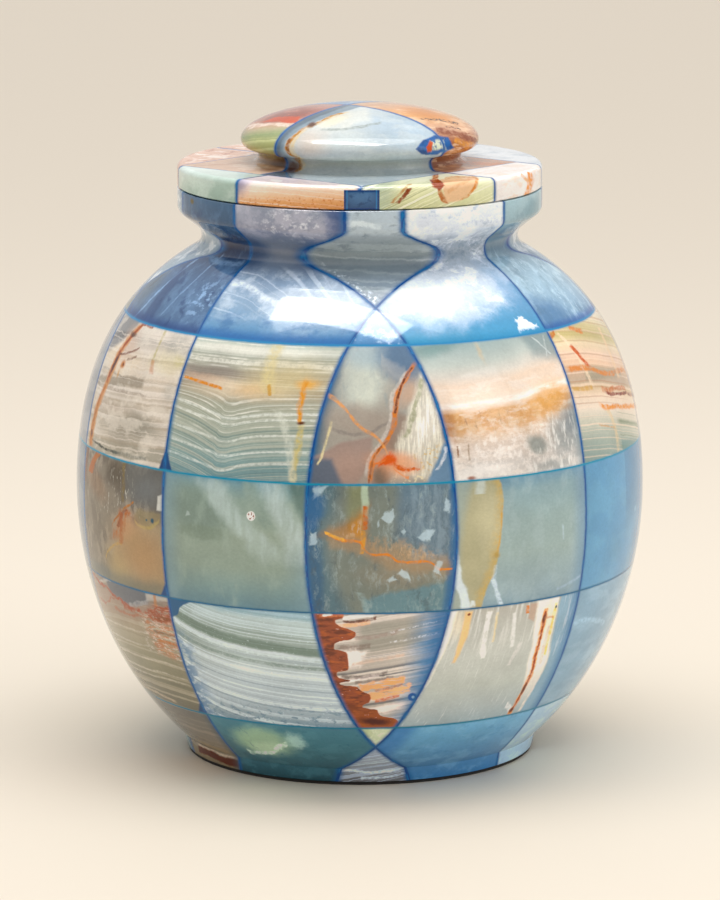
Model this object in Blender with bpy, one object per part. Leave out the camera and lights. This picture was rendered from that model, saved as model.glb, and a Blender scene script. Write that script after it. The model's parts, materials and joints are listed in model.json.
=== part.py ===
"""Funeral urn turned from a glued block of onyx stones, with a lid that lifts off.

Square blocks of onyx were glued together in five courses, four blocks by four, and the
whole was turned on a lathe, so the joints between the blocks show as level lines and as
upright curves. The lid and its knob were turned from a smaller block of the same kind.

All lengths are metres and +Z is up. The origin is at the middle of the underside, and the
side with the pointed corner stones faces -Y.
"""

import math

import bmesh
import bpy
from mathutils import Vector

# Joints and clearances
JOINT = 0.0003  # glue line between two stones, and the gap where two pieces touch
LID_CLEARANCE = 0.0008  # between the lid's plug and the bore
PAD_INSET = 0.0006  # the pad under the foot stops this far inside its edge

# Glued block of the vessel, as the joints on its surface show it
BLOCK_PITCH = 0.0532  # between two upright joints
BLOCKS_WIDE = 4  # each way
BOTTOM_SEAM = 0.0249  # height of the lowest level joint
COURSE_HEIGHT = 0.045  # between two level joints
BELLY_LEVELS = ("lower", "middle", "upper")  # the courses between the foot's and the neck's
NECK_COURSE = 0.0435  # from the highest level joint to the top of the rim
RIGHT_AZIMUTH = math.radians(-42.0)  # square to one set of upright joints
LEFT_AZIMUTH = math.radians(-129.4)  # square to the other, not quite at right angles

# Outline of the vessel
VESSEL_HEIGHT = BOTTOM_SEAM + len(BELLY_LEVELS) * COURSE_HEIGHT + NECK_COURSE
PAD_THICKNESS = 0.001
FOOT_COVER = 0.0095  # stone left at the foot outside the outermost upright joint
FOOT_RADIUS = BLOCK_PITCH + FOOT_COVER
FOOT_FLARE = 0.0011
FOOT_TOP_RADIUS = FOOT_RADIUS + FOOT_FLARE
FOOT_HEIGHT = 0.0062
TURNED_AWAY = 0.0049  # of the glued block, where the belly is widest
BELLY_RADIUS = BLOCKS_WIDE * BLOCK_PITCH / 2 - TURNED_AWAY
BELLY_HEIGHT = 0.096
NECK_COVER = 0.0031  # stone left at the neck outside the outermost upright joint
NECK_RADIUS = BLOCK_PITCH + NECK_COVER
NECK_DROP = 0.0172  # from the rim's top down to the narrowest place
NECK_ROUND = 0.005
SHOULDER_SLOPE = math.radians(60.0)  # from upright, where the shoulder meets the neck
BELLY_FULLNESS = 0.43  # how far the belly's upright part reaches into the shoulder curve
SHOULDER_FULLNESS = 0.42
RIM_OVERHANG = 0.0085  # of the rim past the neck
RIM_RADIUS = NECK_RADIUS + RIM_OVERHANG
RIM_BAND = 0.008
RIM_UNDER_ROUND = 0.0035
RIM_EDGE_ROUND = 0.0006

# Inside of the vessel
WALL = 0.009
FLOOR_THICKNESS = 0.012
NECK_WALL = 0.0093
BORE_RADIUS = NECK_RADIUS - NECK_WALL

# Glued block of the lid
LID_PITCH = 0.0409
LID_RIGHT_OFFSET = 0.0024  # of the lid's grid from the axis
LID_LEFT_OFFSET = 0.008
KNOB_RIGHT_JOINT = -0.0017  # the joints that run up through the knob
KNOB_LEFT_JOINT = 0.0047
EDGE_RIGHT_JOINT = 0.0012  # the joints that part the stones of the lid's edge
EDGE_LEFT_JOINT = 0.005

# Outline of the lid
LID_RADIUS = RIM_RADIUS
LID_THICKNESS = 0.0083
LID_TOP_ROUND = 0.002
LID_LOWER_ROUND = 0.0008
PLUG_DEPTH = 0.006
COVE_RADIUS = 0.0025
STEM_RADIUS = 0.036
KNOB_RADIUS = 0.0422
KNOB_UNDER_ROUND = 0.0032
KNOB_DOME = 0.0122

# Small stone let into the front of the lid's edge
INSERT_WIDTH = 0.0122
INSERT_DEPTH = 0.0068
INSERT_TOP_GAP = 0.0014
INSERT_SHIFT = 0.0007  # to the right of the middle

# Facets
SIDES = 40
LOWER_STEPS = 8
SHOULDER_STEPS = 10
NECK_STEPS = 4
COVE_STEPS = 4
DOME_STEPS = 6
ROUND_STEPS = 2  # small rounded edges
CAVITY_SHARE = 2  # the cavity has this many times fewer steps than the outside
SHARP_EDGE = math.radians(30.0)
MERGE = 0.00001  # points closer than this are one

# Heights that follow from the sizes above
STONE_BASE = PAD_THICKNESS + JOINT
LID_BASE = VESSEL_HEIGHT + JOINT
LID_TOP = LID_BASE + LID_THICKNESS
KNOB_BASE = LID_TOP + 2 * COVE_RADIUS
FAR = 2 * BELLY_RADIUS + VESSEL_HEIGHT  # beyond every stone, for blocks that end outside

# Colours of the stones, and how matt they and the pad are
STONE_ROUGHNESS = 0.12
PAD_ROUGHNESS = 0.9
GREY_BLUE = (0.36, 0.47, 0.55)
PALE_BLUE = (0.50, 0.66, 0.78)
DEEP_BLUE = (0.12, 0.30, 0.52)
CREAM = (0.78, 0.70, 0.58)
SEA_GREEN = (0.46, 0.58, 0.52)
TEAL = (0.16, 0.34, 0.42)
RUST = (0.52, 0.20, 0.07)
PEACH = (0.83, 0.56, 0.36)
LIME = (0.60, 0.62, 0.34)
WHITE = (0.80, 0.82, 0.82)
FELT = (0.03, 0.027, 0.024)


def arc(center, radii, start, end, steps):
    """Points (radius, height) on an ellipse from one angle to another, in radians."""
    points = []
    for i in range(steps + 1):
        angle = start + (end - start) * i / steps
        points.append((center[0] + radii[0] * math.cos(angle),
                       center[1] + radii[1] * math.sin(angle)))
    return points


def bezier(a, b, c, d, steps):
    """Points of a cubic curve from a to d."""
    points = []
    for i in range(steps + 1):
        t = i / steps
        s = 1 - t
        weights = (s ** 3, 3 * s * s * t, 3 * s * t * t, t ** 3)
        points.append(tuple(sum(w * p[axis] for w, p in zip(weights, (a, b, c, d)))
                            for axis in range(2)))
    return points


def belly_curve(share):
    """The outside from the top of the foot over the belly to the foot of the neck."""
    drop = BELLY_HEIGHT - FOOT_HEIGHT
    half_height = drop / math.sqrt(1 - (FOOT_TOP_RADIUS / BELLY_RADIUS) ** 2)
    lower = arc((0, BELLY_HEIGHT), (BELLY_RADIUS, half_height),
                -math.asin(drop / half_height), 0, LOWER_STEPS // share)
    neck = neck_center()
    end = (neck[0] - NECK_ROUND * math.cos(SHOULDER_SLOPE),
           neck[1] - NECK_ROUND * math.sin(SHOULDER_SLOPE))
    rise = end[1] - BELLY_HEIGHT
    upper = bezier(
        (BELLY_RADIUS, BELLY_HEIGHT),
        (BELLY_RADIUS, BELLY_HEIGHT + BELLY_FULLNESS * rise),
        (end[0] + SHOULDER_FULLNESS * rise * math.sin(SHOULDER_SLOPE),
         end[1] - SHOULDER_FULLNESS * rise * math.cos(SHOULDER_SLOPE)),
        end, SHOULDER_STEPS // share)
    return lower + upper[1:]


def neck_center():
    """Middle of the round hollow of the neck."""
    return NECK_RADIUS + NECK_ROUND, VESSEL_HEIGHT - NECK_DROP


def neck_and_rim():
    """The outside from the neck's hollow to the inner edge of the rim's top."""
    neck = neck_center()
    corner = (RIM_RADIUS, VESSEL_HEIGHT - RIM_BAND)
    across = Vector(corner) - Vector(neck)
    toward = math.atan2(across.y, across.x)
    flare_at = toward + math.acos(NECK_ROUND / across.length)
    hollow = arc(neck, (NECK_ROUND, NECK_ROUND), math.pi + SHOULDER_SLOPE, flare_at,
                 NECK_STEPS)
    flare = flare_at - math.pi / 2  # direction of the straight flare up to the rim
    turn = math.pi / 2 - flare
    setback = RIM_UNDER_ROUND * math.tan(turn / 2)
    round_center = (RIM_RADIUS - RIM_UNDER_ROUND, corner[1] + setback)
    under = arc(round_center, (RIM_UNDER_ROUND, RIM_UNDER_ROUND), -turn, 0, ROUND_STEPS)
    edge = arc((RIM_RADIUS - RIM_EDGE_ROUND, VESSEL_HEIGHT - RIM_EDGE_ROUND),
               (RIM_EDGE_ROUND, RIM_EDGE_ROUND), 0, math.pi / 2, 1)
    return hollow[1:] + under + edge


def cavity():
    """The inside from the bore's top down to the middle of the floor, WALL thick."""
    outside = [Vector(p) for p in belly_curve(CAVITY_SHARE)]
    inside = []
    for i, point in enumerate(outside):
        before = outside[max(i - 1, 0)]
        after = outside[min(i + 1, len(outside) - 1)]
        along = (after - before).normalized()
        inside.append(point + WALL * Vector((-along.y, along.x)))
    roof = inside[-1]
    climb = (roof.x - BORE_RADIUS) / math.tan(SHOULDER_SLOPE)
    points = [(BORE_RADIUS, VESSEL_HEIGHT), (BORE_RADIUS, roof.y + climb)]
    floor = STONE_BASE + FLOOR_THICKNESS
    for upper, lower in zip(reversed(inside), reversed([inside[0]] + inside[:-1])):
        points.append(tuple(upper))
        if lower.y < floor:
            share = (upper.y - floor) / (upper.y - lower.y)
            points.append(tuple(upper.lerp(lower, share)))
            break
    return points + [(0, floor)]


def vessel_section():
    """Half section of the vessel, from the axis below round to the axis on the floor."""
    foot = [(0, STONE_BASE), (FOOT_RADIUS, STONE_BASE)]
    return foot + belly_curve(1) + neck_and_rim() + cavity()


def lid_section():
    """Half section of the lid with its plug and knob, from the axis below to the top."""
    plug = BORE_RADIUS - LID_CLEARANCE
    plug_base = LID_BASE - PLUG_DEPTH
    under = [(0, plug_base), (plug - LID_LOWER_ROUND, plug_base),
             (plug, plug_base + LID_LOWER_ROUND), (plug, LID_BASE)]
    side = [(LID_RADIUS - LID_LOWER_ROUND, LID_BASE), (LID_RADIUS, LID_BASE + LID_LOWER_ROUND)]
    edge = arc((LID_RADIUS - LID_TOP_ROUND, LID_TOP - LID_TOP_ROUND),
               (LID_TOP_ROUND, LID_TOP_ROUND), 0, math.pi / 2, ROUND_STEPS)
    cove_center = (STEM_RADIUS + COVE_RADIUS, LID_TOP + COVE_RADIUS)
    cove = arc(cove_center, (COVE_RADIUS, COVE_RADIUS), 1.5 * math.pi, math.pi / 2,
               COVE_STEPS)
    widest = KNOB_BASE + KNOB_UNDER_ROUND
    belly = arc((cove_center[0], widest), (KNOB_RADIUS - cove_center[0], KNOB_UNDER_ROUND),
                -math.pi / 2, 0, ROUND_STEPS)
    dome = arc((0, widest), (KNOB_RADIUS, KNOB_DOME), 0, math.pi / 2, DOME_STEPS)
    dome[-1] = (0, widest + KNOB_DOME)
    return under + side + edge + cove + belly[1:] + dome[1:]


def new_object(name, mesh):
    """An object for the mesh, linked to the scene."""
    made = bpy.data.objects.new(name, mesh)
    bpy.context.scene.collection.objects.link(made)
    return made


def finished(name, shape):
    """An object from a bmesh whose faces then point out."""
    bmesh.ops.recalc_face_normals(shape, faces=shape.faces)
    mesh = bpy.data.meshes.new(name)
    shape.to_mesh(mesh)
    shape.free()
    return new_object(name, mesh)


def turned(name, section):
    """A closed solid of revolution from a half section that starts and ends on the axis."""
    shape = bmesh.new()
    verts = [shape.verts.new((radius, 0, height)) for radius, height in section]
    edges = [shape.edges.new(pair) for pair in zip(verts, verts[1:])]
    bmesh.ops.spin(shape, geom=verts + edges, cent=(0, 0, 0), axis=(0, 0, 1),
                   angle=2 * math.pi, steps=SIDES, use_merge=True)
    bmesh.ops.remove_doubles(shape, verts=shape.verts, dist=MERGE)
    return finished(name, shape)


def in_plan(right, left):
    """The point (x, y) at these distances from the axis, square to the two joints."""
    turn = math.sin(LEFT_AZIMUTH - RIGHT_AZIMUTH)
    x = (right * math.sin(LEFT_AZIMUTH) - left * math.sin(RIGHT_AZIMUTH)) / turn
    y = (left * math.cos(RIGHT_AZIMUTH) - right * math.cos(LEFT_AZIMUTH)) / turn
    return x, y


def prism(corners, heights):
    """A closed upright prism over the corners of a plan."""
    shape = bmesh.new()
    for height in heights:
        for corner in corners:
            shape.verts.new((*corner, height))
    bmesh.ops.convex_hull(shape, input=shape.verts)
    return finished("cutter", shape)


def block(right, left, heights, gap):
    """A block between two joints each way, smaller by gap on all its sides."""
    corners = [in_plan(r, l) for r in (right[0] + gap, right[1] - gap)
               for l in (left[0] + gap, left[1] - gap)]
    return prism(corners, (heights[0] + gap, heights[1] - gap))


def insert_block(gap):
    """The place of the small stone in the lid's edge, smaller by gap on all its sides."""
    half = INSERT_WIDTH / 2 - gap
    corners = [(INSERT_SHIFT + side, y) for side in (-half, half)
               for y in (-FAR, INSERT_DEPTH - LID_RADIUS - gap)]
    return prism(corners, (LID_BASE - JOINT, LID_TOP - INSERT_TOP_GAP - gap))


def cut(piece, cutter, operation):
    """Applies a Boolean with the cutter to the piece, and removes the cutter."""
    modifier = piece.modifiers.new("cut", "BOOLEAN")
    modifier.operation = operation
    modifier.solver = "EXACT"
    modifier.object = cutter
    depsgraph = bpy.context.evaluated_depsgraph_get()
    mesh = bpy.data.meshes.new_from_object(piece.evaluated_get(depsgraph))
    piece.modifiers.clear()
    piece.data = mesh
    bpy.data.objects.remove(cutter)


def material(name, color, roughness):
    """A plain Principled material."""
    made = bpy.data.materials.new(name)
    made.use_nodes = True
    shader = made.node_tree.nodes["Principled BSDF"]
    shader.inputs["Base Color"].default_value = (*color, 1)
    shader.inputs["Roughness"].default_value = roughness
    shader.inputs["Metallic"].default_value = 0
    return made


def stone(name, blank, color, place, taken=()):
    """One stone: what its place holds of the turned blank, less places already taken."""
    piece = new_object(name, blank.data.copy())
    cut(piece, place, "INTERSECT")
    for other in taken:
        cut(piece, other, "DIFFERENCE")
    if not piece.data.polygons:
        bpy.data.objects.remove(piece)
        return
    piece.data.name = name
    piece.data.materials.clear()
    piece.data.materials.append(material(name, color, STONE_ROUGHNESS))
    piece.data.shade_smooth()
    piece.data.set_sharp_from_angle(angle=SHARP_EDGE)


def course(name, blank, heights, places):
    """The stones of one level, each from its side, colour and limits in plan."""
    for side, color, right, left in places:
        stone(f"{name}_{side}_stone", blank, color, block(right, left, heights, JOINT / 2))


def seam_height(number):
    """Height of a level joint, counted from the lowest."""
    return BOTTOM_SEAM + number * COURSE_HEIGHT


def belly_places(colors):
    """Nine stones round the belly. At the hidden back, neighbours are one piece."""
    p = BLOCK_PITCH
    limits = (
        ("front", (p, FAR), (p, FAR)),
        ("front_left", (0, p), (0, FAR)),
        ("left_front", (-p, 0), (0, FAR)),
        ("left", (-FAR, -p), (p, FAR)),
        ("back_left", (-FAR, -p), (-FAR, p)),
        ("back_right", (-p, p), (-FAR, 0)),
        ("right", (p, FAR), (-FAR, -p)),
        ("right_front", (p, FAR), (-p, 0)),
        ("front_right", (p, FAR), (0, p)),
    )
    return [(side, color, right, left) for (side, right, left), color in zip(limits, colors)]


def end_places(colors):
    """Seven outer stones of the foot's and the neck's level, with the back ones joined."""
    p = BLOCK_PITCH
    limits = (
        ("front", (p, FAR), (p, FAR)),
        ("front_left", (0, p), (p, FAR)),
        ("left_front", (-FAR, 0), (p, FAR)),
        ("back_left", (-FAR, -p), (-FAR, p)),
        ("back_right", (-p, p), (-FAR, -p)),
        ("right_front", (p, FAR), (-FAR, 0)),
        ("front_right", (p, FAR), (0, p)),
    )
    return [(side, color, right, left) for (side, right, left), color in zip(limits, colors)]


def vessel():
    """All the stones of the vessel, level by level from the foot."""
    blank = turned("vessel_blank", vessel_section())
    p = BLOCK_PITCH
    foot_inner = [
        ("inner_front", CREAM, (0, p), (0, p)),
        ("inner_right", SEA_GREEN, (0, p), (-p, 0)),
        ("inner_left", GREY_BLUE, (-p, 0), (-p, p)),
    ]
    foot_colors = (CREAM, TEAL, GREY_BLUE, GREY_BLUE, TEAL, SEA_GREEN, DEEP_BLUE)
    foot = (-FAR, seam_height(0))
    course("foot", blank, foot, end_places(foot_colors) + foot_inner)

    belly_colors = (
        (RUST, WHITE, SEA_GREEN, GREY_BLUE, SEA_GREEN, PALE_BLUE, TEAL, PALE_BLUE, SEA_GREEN),
        (TEAL, SEA_GREEN, CREAM, GREY_BLUE, PALE_BLUE, SEA_GREEN, PALE_BLUE, PALE_BLUE,
         SEA_GREEN),
        (GREY_BLUE, WHITE, CREAM, GREY_BLUE, CREAM, SEA_GREEN, PALE_BLUE, LIME, PEACH),
    )
    for number, (name, colors) in enumerate(zip(BELLY_LEVELS, belly_colors)):
        heights = (seam_height(number), seam_height(number + 1))
        course(name, blank, heights, belly_places(colors))

    neck_inner = [
        ("inner_front", GREY_BLUE, (0, p), (0, p)),
        ("inner_left", CREAM, (-p, 0), (0, p)),
        ("inner_right", GREY_BLUE, (0, p), (-p, 0)),
        ("inner_back", PALE_BLUE, (-p, 0), (-p, 0)),
    ]
    neck_colors = (PALE_BLUE, PALE_BLUE, DEEP_BLUE, GREY_BLUE, PALE_BLUE, GREY_BLUE, PALE_BLUE)
    neck = (seam_height(len(BELLY_LEVELS)), FAR)
    course("neck", blank, neck, end_places(neck_colors) + neck_inner)
    bpy.data.objects.remove(blank)


def lid():
    """The stones of the lid. Four run up through the knob, the others lie round them."""
    blank = turned("lid_blank", lid_section())
    right_low, right_high = LID_RIGHT_OFFSET - LID_PITCH, LID_RIGHT_OFFSET + LID_PITCH
    left_low, left_high = LID_LEFT_OFFSET - LID_PITCH, LID_LEFT_OFFSET + LID_PITCH
    disc = (0, LID_TOP + JOINT)
    everywhere = (-FAR, FAR)
    round_about = [
        (everywhere, (left_high, FAR)),
        ((right_high, FAR), everywhere),
        (everywhere, (-FAR, left_low)),
        ((-FAR, right_low), everywhere),
    ]
    knob = [
        ("front", WHITE, (KNOB_RIGHT_JOINT, FAR), (KNOB_LEFT_JOINT, FAR)),
        ("left", RUST, (-FAR, KNOB_RIGHT_JOINT), (KNOB_LEFT_JOINT, FAR)),
        ("back", PALE_BLUE, (-FAR, KNOB_RIGHT_JOINT), (-FAR, KNOB_LEFT_JOINT)),
        ("right", PEACH, (KNOB_RIGHT_JOINT, FAR), (-FAR, KNOB_LEFT_JOINT)),
    ]
    for side, color, right, left in knob:
        taken = [block(*limits, disc, -JOINT / 2) for limits in round_about]
        taken.append(insert_block(-JOINT / 2))
        place = block(right, left, (0, FAR), JOINT / 2)
        stone(f"lid_knob_{side}_stone", blank, color, place, taken)
    edge = [
        ("front_left", PEACH, (EDGE_RIGHT_JOINT, right_high), (left_high, FAR)),
        ("left_front", SEA_GREEN, (-FAR, EDGE_RIGHT_JOINT), (left_high, FAR)),
        ("back_left", RUST, (-FAR, right_low), (-FAR, left_high)),
        ("back_right", PALE_BLUE, (right_low, FAR), (-FAR, left_low)),
        ("right_front", WHITE, (right_high, FAR), (left_low, EDGE_LEFT_JOINT)),
        ("front_right", LIME, (right_high, FAR), (EDGE_LEFT_JOINT, FAR)),
    ]
    for side, color, right, left in edge:
        place = block(right, left, disc, JOINT / 2)
        stone(f"lid_edge_{side}_stone", blank, color, place, [insert_block(-JOINT / 2)])
    stone("lid_insert_stone", blank, DEEP_BLUE, insert_block(JOINT / 2))
    bpy.data.objects.remove(blank)


def pad():
    """The thin dark pad that the foot stands on."""
    radius = FOOT_RADIUS - PAD_INSET
    piece = turned("foot_pad", [(0, 0), (radius, 0), (radius, PAD_THICKNESS),
                                (0, PAD_THICKNESS)])
    piece.data.materials.append(material("foot_pad", FELT, PAD_ROUGHNESS))


def main():
    for old in list(bpy.data.objects):
        bpy.data.objects.remove(old)
    vessel()
    lid()
    pad()


main()
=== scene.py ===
"""Looks of the funeral urn: every onyx stone as a fine turned piece with its own pattern.

Lengths are millimetres in this script, and the meshes are scaled to metres as they are made.
+Z is up and the side with the pointed corner stones faces -Y. "right" counts along the
direction square to one set of upright joints, "left" along the one square to the other.
"""

import json
import math

import bmesh
import bpy
import numpy as np
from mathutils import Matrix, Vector

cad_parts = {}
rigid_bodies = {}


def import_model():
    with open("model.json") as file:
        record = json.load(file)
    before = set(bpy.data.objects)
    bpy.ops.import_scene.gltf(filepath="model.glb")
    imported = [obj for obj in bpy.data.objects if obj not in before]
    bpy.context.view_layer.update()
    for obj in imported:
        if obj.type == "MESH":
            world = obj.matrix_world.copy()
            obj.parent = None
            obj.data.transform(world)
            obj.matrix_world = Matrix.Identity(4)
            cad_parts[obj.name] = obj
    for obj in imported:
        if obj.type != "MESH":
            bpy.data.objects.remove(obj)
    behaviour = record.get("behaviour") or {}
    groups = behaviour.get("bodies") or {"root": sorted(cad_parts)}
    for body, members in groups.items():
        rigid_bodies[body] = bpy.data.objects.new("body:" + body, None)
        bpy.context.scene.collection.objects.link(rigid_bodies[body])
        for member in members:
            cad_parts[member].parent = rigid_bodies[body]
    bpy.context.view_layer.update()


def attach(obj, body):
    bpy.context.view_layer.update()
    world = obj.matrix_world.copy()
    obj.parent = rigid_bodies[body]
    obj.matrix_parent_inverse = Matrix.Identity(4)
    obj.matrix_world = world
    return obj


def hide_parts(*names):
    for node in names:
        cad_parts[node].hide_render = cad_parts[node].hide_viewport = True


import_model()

MM = 0.001

# The glued blocks, as in the solids
PITCH = 53.2
SEAMS = (24.9, 69.9, 114.9, 159.9)
RIGHT_AZIMUTH = math.radians(-42.0)
LEFT_AZIMUTH = math.radians(-129.4)
RIGHT = Vector((math.cos(RIGHT_AZIMUTH), math.sin(RIGHT_AZIMUTH), 0))
LEFT = Vector((math.cos(LEFT_AZIMUTH), math.sin(LEFT_AZIMUTH), 0))
UP = Vector((0, 0, 1))
ACROSS = Vector((1, 0, 0))
BACK = Vector((0, 1, 0))

# Outline of the vessel
BASE = 1.3
RIM_TOP = 203.4
FOOT_RADIUS = 62.7
FOOT_TOP_RADIUS = 63.8
FOOT_HEIGHT = 6.2
BELLY_RADIUS = 101.5
BELLY_HEIGHT = 96.0
NECK_RADIUS = 56.3
NECK_HEIGHT = 186.2
NECK_ROUND = 5.0
SHOULDER_SLOPE = math.radians(60.0)
BELLY_FULLNESS = 0.43
SHOULDER_FULLNESS = 0.42
RIM_RADIUS = 64.8
RIM_BAND = 8.0
RIM_UNDER_ROUND = 3.5
RIM_EDGE_ROUND = 0.6
WALL = 9.0
FLOOR = 13.3
BORE_RADIUS = 47.0

# The lid
LID_BASE = 203.7
LID_TOP = 212.0
LID_RIGHT = (-38.5, 43.3)
LID_LEFT = (-32.9, 48.9)
KNOB_JOINTS = (-1.7, 4.7)
EDGE_JOINTS = (1.2, 5.0)
PLUG_RADIUS = 46.2
PLUG_DEPTH = 6.0
LID_TOP_ROUND = 2.0
LID_LOWER_ROUND = 0.8
COVE_RADIUS = 2.5
STEM_RADIUS = 36.0
KNOB_RADIUS = 42.2
KNOB_UNDER_ROUND = 3.2
KNOB_DOME = 12.2
INSERT_SIDES = (-5.4, 6.8)
INSERT_BACK = -58.0
INSERT_TOP = 210.6

# The pad under the foot
PAD_RADIUS = 62.1
PAD_THICKNESS = 1.0
FELT_ROUGHNESS = 0.9
FELT_COLORS = ("#1d1b1a", "#35312e")
FLUFF_PER_METRE = 900

# Facets: sides round the axis, steps up the belly and shoulder, outside and inside, and the
# radii of extra rings on the lid's flat top
SIDES = 200
OUTSIDE_STEPS = (44, 48)
INSIDE_STEPS = (12, 12)
LID_RINGS = (56, 50, 44)
SHARP = math.radians(30)

# Farther than any piece reaches, and lengths too small to see
FAR = 400.0
HAIR = 1e-4
ON_AXIS = 1e-6
CUT_SLACK = 1e-5

# Nearer the axis than this, a turned face's own normal is used only if it is this close to upright
NEAR_AXIS = 0.01
NEARLY_UPRIGHT = 0.01


def shade(text):
    """Linear colour of a hexadecimal sRGB one."""
    parts = [int(text[i:i + 2], 16) / 255 for i in (1, 3, 5)]
    return (*(c / 12.92 if c <= 0.04045 else ((c + 0.055) / 1.055) ** 2.4 for c in parts), 1)


def in_scene(name, data):
    """A new object of the scene for this mesh, camera or lamp."""
    made = bpy.data.objects.new(name, data)
    bpy.context.scene.collection.objects.link(made)
    return made


# Outlines

def arc(center, radii, start, end, steps):
    """Points (radius, height) on an ellipse from one angle to another."""
    return [(center[0] + radii[0] * math.cos(start + (end - start) * i / steps),
             center[1] + radii[1] * math.sin(start + (end - start) * i / steps))
            for i in range(steps + 1)]


def bezier(corners, steps):
    """Points of a cubic curve through its first and last corner."""
    points = []
    for i in range(steps + 1):
        t = i / steps
        s = 1 - t
        weights = (s ** 3, 3 * s * s * t, 3 * s * t * t, t ** 3)
        points.append(tuple(sum(w * p[axis] for w, p in zip(weights, corners))
                            for axis in range(2)))
    return points


def belly_curve(lower_steps, shoulder_steps):
    """The outside from the top of the foot over the belly to the foot of the neck."""
    drop = BELLY_HEIGHT - FOOT_HEIGHT
    half_height = drop / math.sqrt(1 - (FOOT_TOP_RADIUS / BELLY_RADIUS) ** 2)
    lower = arc((0, BELLY_HEIGHT), (BELLY_RADIUS, half_height),
                -math.asin(drop / half_height), 0, lower_steps)
    end = (NECK_RADIUS + NECK_ROUND - NECK_ROUND * math.cos(SHOULDER_SLOPE),
           NECK_HEIGHT - NECK_ROUND * math.sin(SHOULDER_SLOPE))
    rise = end[1] - BELLY_HEIGHT
    shoulder = bezier(
        ((BELLY_RADIUS, BELLY_HEIGHT), (BELLY_RADIUS, BELLY_HEIGHT + BELLY_FULLNESS * rise),
         (end[0] + SHOULDER_FULLNESS * rise * math.sin(SHOULDER_SLOPE),
          end[1] - SHOULDER_FULLNESS * rise * math.cos(SHOULDER_SLOPE)), end),
        shoulder_steps)
    return lower + shoulder[1:]


def neck_and_rim():
    """The outside from the neck's hollow to the inner edge of the rim's top."""
    neck = Vector((NECK_RADIUS + NECK_ROUND, NECK_HEIGHT))
    corner = Vector((RIM_RADIUS, RIM_TOP - RIM_BAND))
    across = corner - neck
    flare_at = math.atan2(across.y, across.x) + math.acos(NECK_ROUND / across.length)
    hollow = arc(neck, (NECK_ROUND, NECK_ROUND), math.pi + SHOULDER_SLOPE, flare_at, 14)
    flare = flare_at - math.pi / 2
    turn = math.pi / 2 - flare
    center = (RIM_RADIUS - RIM_UNDER_ROUND,
              corner.y + RIM_UNDER_ROUND * math.tan(turn / 2))
    under = arc(center, (RIM_UNDER_ROUND, RIM_UNDER_ROUND), -turn, 0, 6)
    edge = arc((RIM_RADIUS - RIM_EDGE_ROUND, RIM_TOP - RIM_EDGE_ROUND),
               (RIM_EDGE_ROUND, RIM_EDGE_ROUND), 0, math.pi / 2, 3)
    flank = [Vector(hollow[-1]).lerp(Vector(under[0]), i / 3) for i in (1, 2)]
    return hollow[1:] + [tuple(p) for p in flank] + under + edge


def cavity():
    """The inside from the bore's top down to the middle of the floor."""
    outside = [Vector(p) for p in belly_curve(*INSIDE_STEPS)]
    inside = []
    for i, point in enumerate(outside):
        along = (outside[min(i + 1, len(outside) - 1)] - outside[max(i - 1, 0)]).normalized()
        inside.append(point + WALL * Vector((-along.y, along.x)))
    climb = (inside[-1].x - BORE_RADIUS) / math.tan(SHOULDER_SLOPE)
    points = [(BORE_RADIUS, RIM_TOP), (BORE_RADIUS, inside[-1].y + climb)]
    for upper, lower in zip(reversed(inside), reversed([inside[0]] + inside[:-1])):
        points.append(tuple(upper))
        if lower.y < FLOOR:
            points.append(tuple(upper.lerp(lower, (upper.y - FLOOR) / (upper.y - lower.y))))
            break
    return points + [(0, FLOOR)]


def vessel_section():
    return ([(0, BASE), (FOOT_RADIUS, BASE)] + belly_curve(*OUTSIDE_STEPS) + neck_and_rim()
            + cavity())


def lid_section():
    plug_base = LID_BASE - PLUG_DEPTH
    under = [(0, plug_base), (PLUG_RADIUS - LID_LOWER_ROUND, plug_base),
             (PLUG_RADIUS, plug_base + LID_LOWER_ROUND), (PLUG_RADIUS, LID_BASE)]
    side = arc((RIM_RADIUS - LID_LOWER_ROUND, LID_BASE + LID_LOWER_ROUND),
               (LID_LOWER_ROUND, LID_LOWER_ROUND), -math.pi / 2, 0, 3)
    edge = arc((RIM_RADIUS - LID_TOP_ROUND, LID_TOP - LID_TOP_ROUND),
               (LID_TOP_ROUND, LID_TOP_ROUND), 0, math.pi / 2, 6)
    top = [(radius, LID_TOP) for radius in LID_RINGS]
    cove_center = (STEM_RADIUS + COVE_RADIUS, LID_TOP + COVE_RADIUS)
    cove = arc(cove_center, (COVE_RADIUS, COVE_RADIUS), 1.5 * math.pi, math.pi / 2, 12)
    widest = LID_TOP + 2 * COVE_RADIUS + KNOB_UNDER_ROUND
    belly = arc((cove_center[0], widest), (KNOB_RADIUS - cove_center[0], KNOB_UNDER_ROUND),
                -math.pi / 2, 0, 8)
    dome = arc((0, widest), (KNOB_RADIUS, KNOB_DOME), 0, math.pi / 2, 30)
    dome[-1] = (0, widest + KNOB_DOME)
    return under + side + edge + top + cove + belly[1:] + dome[1:]


# Turned blanks and the stones cut from them

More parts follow.
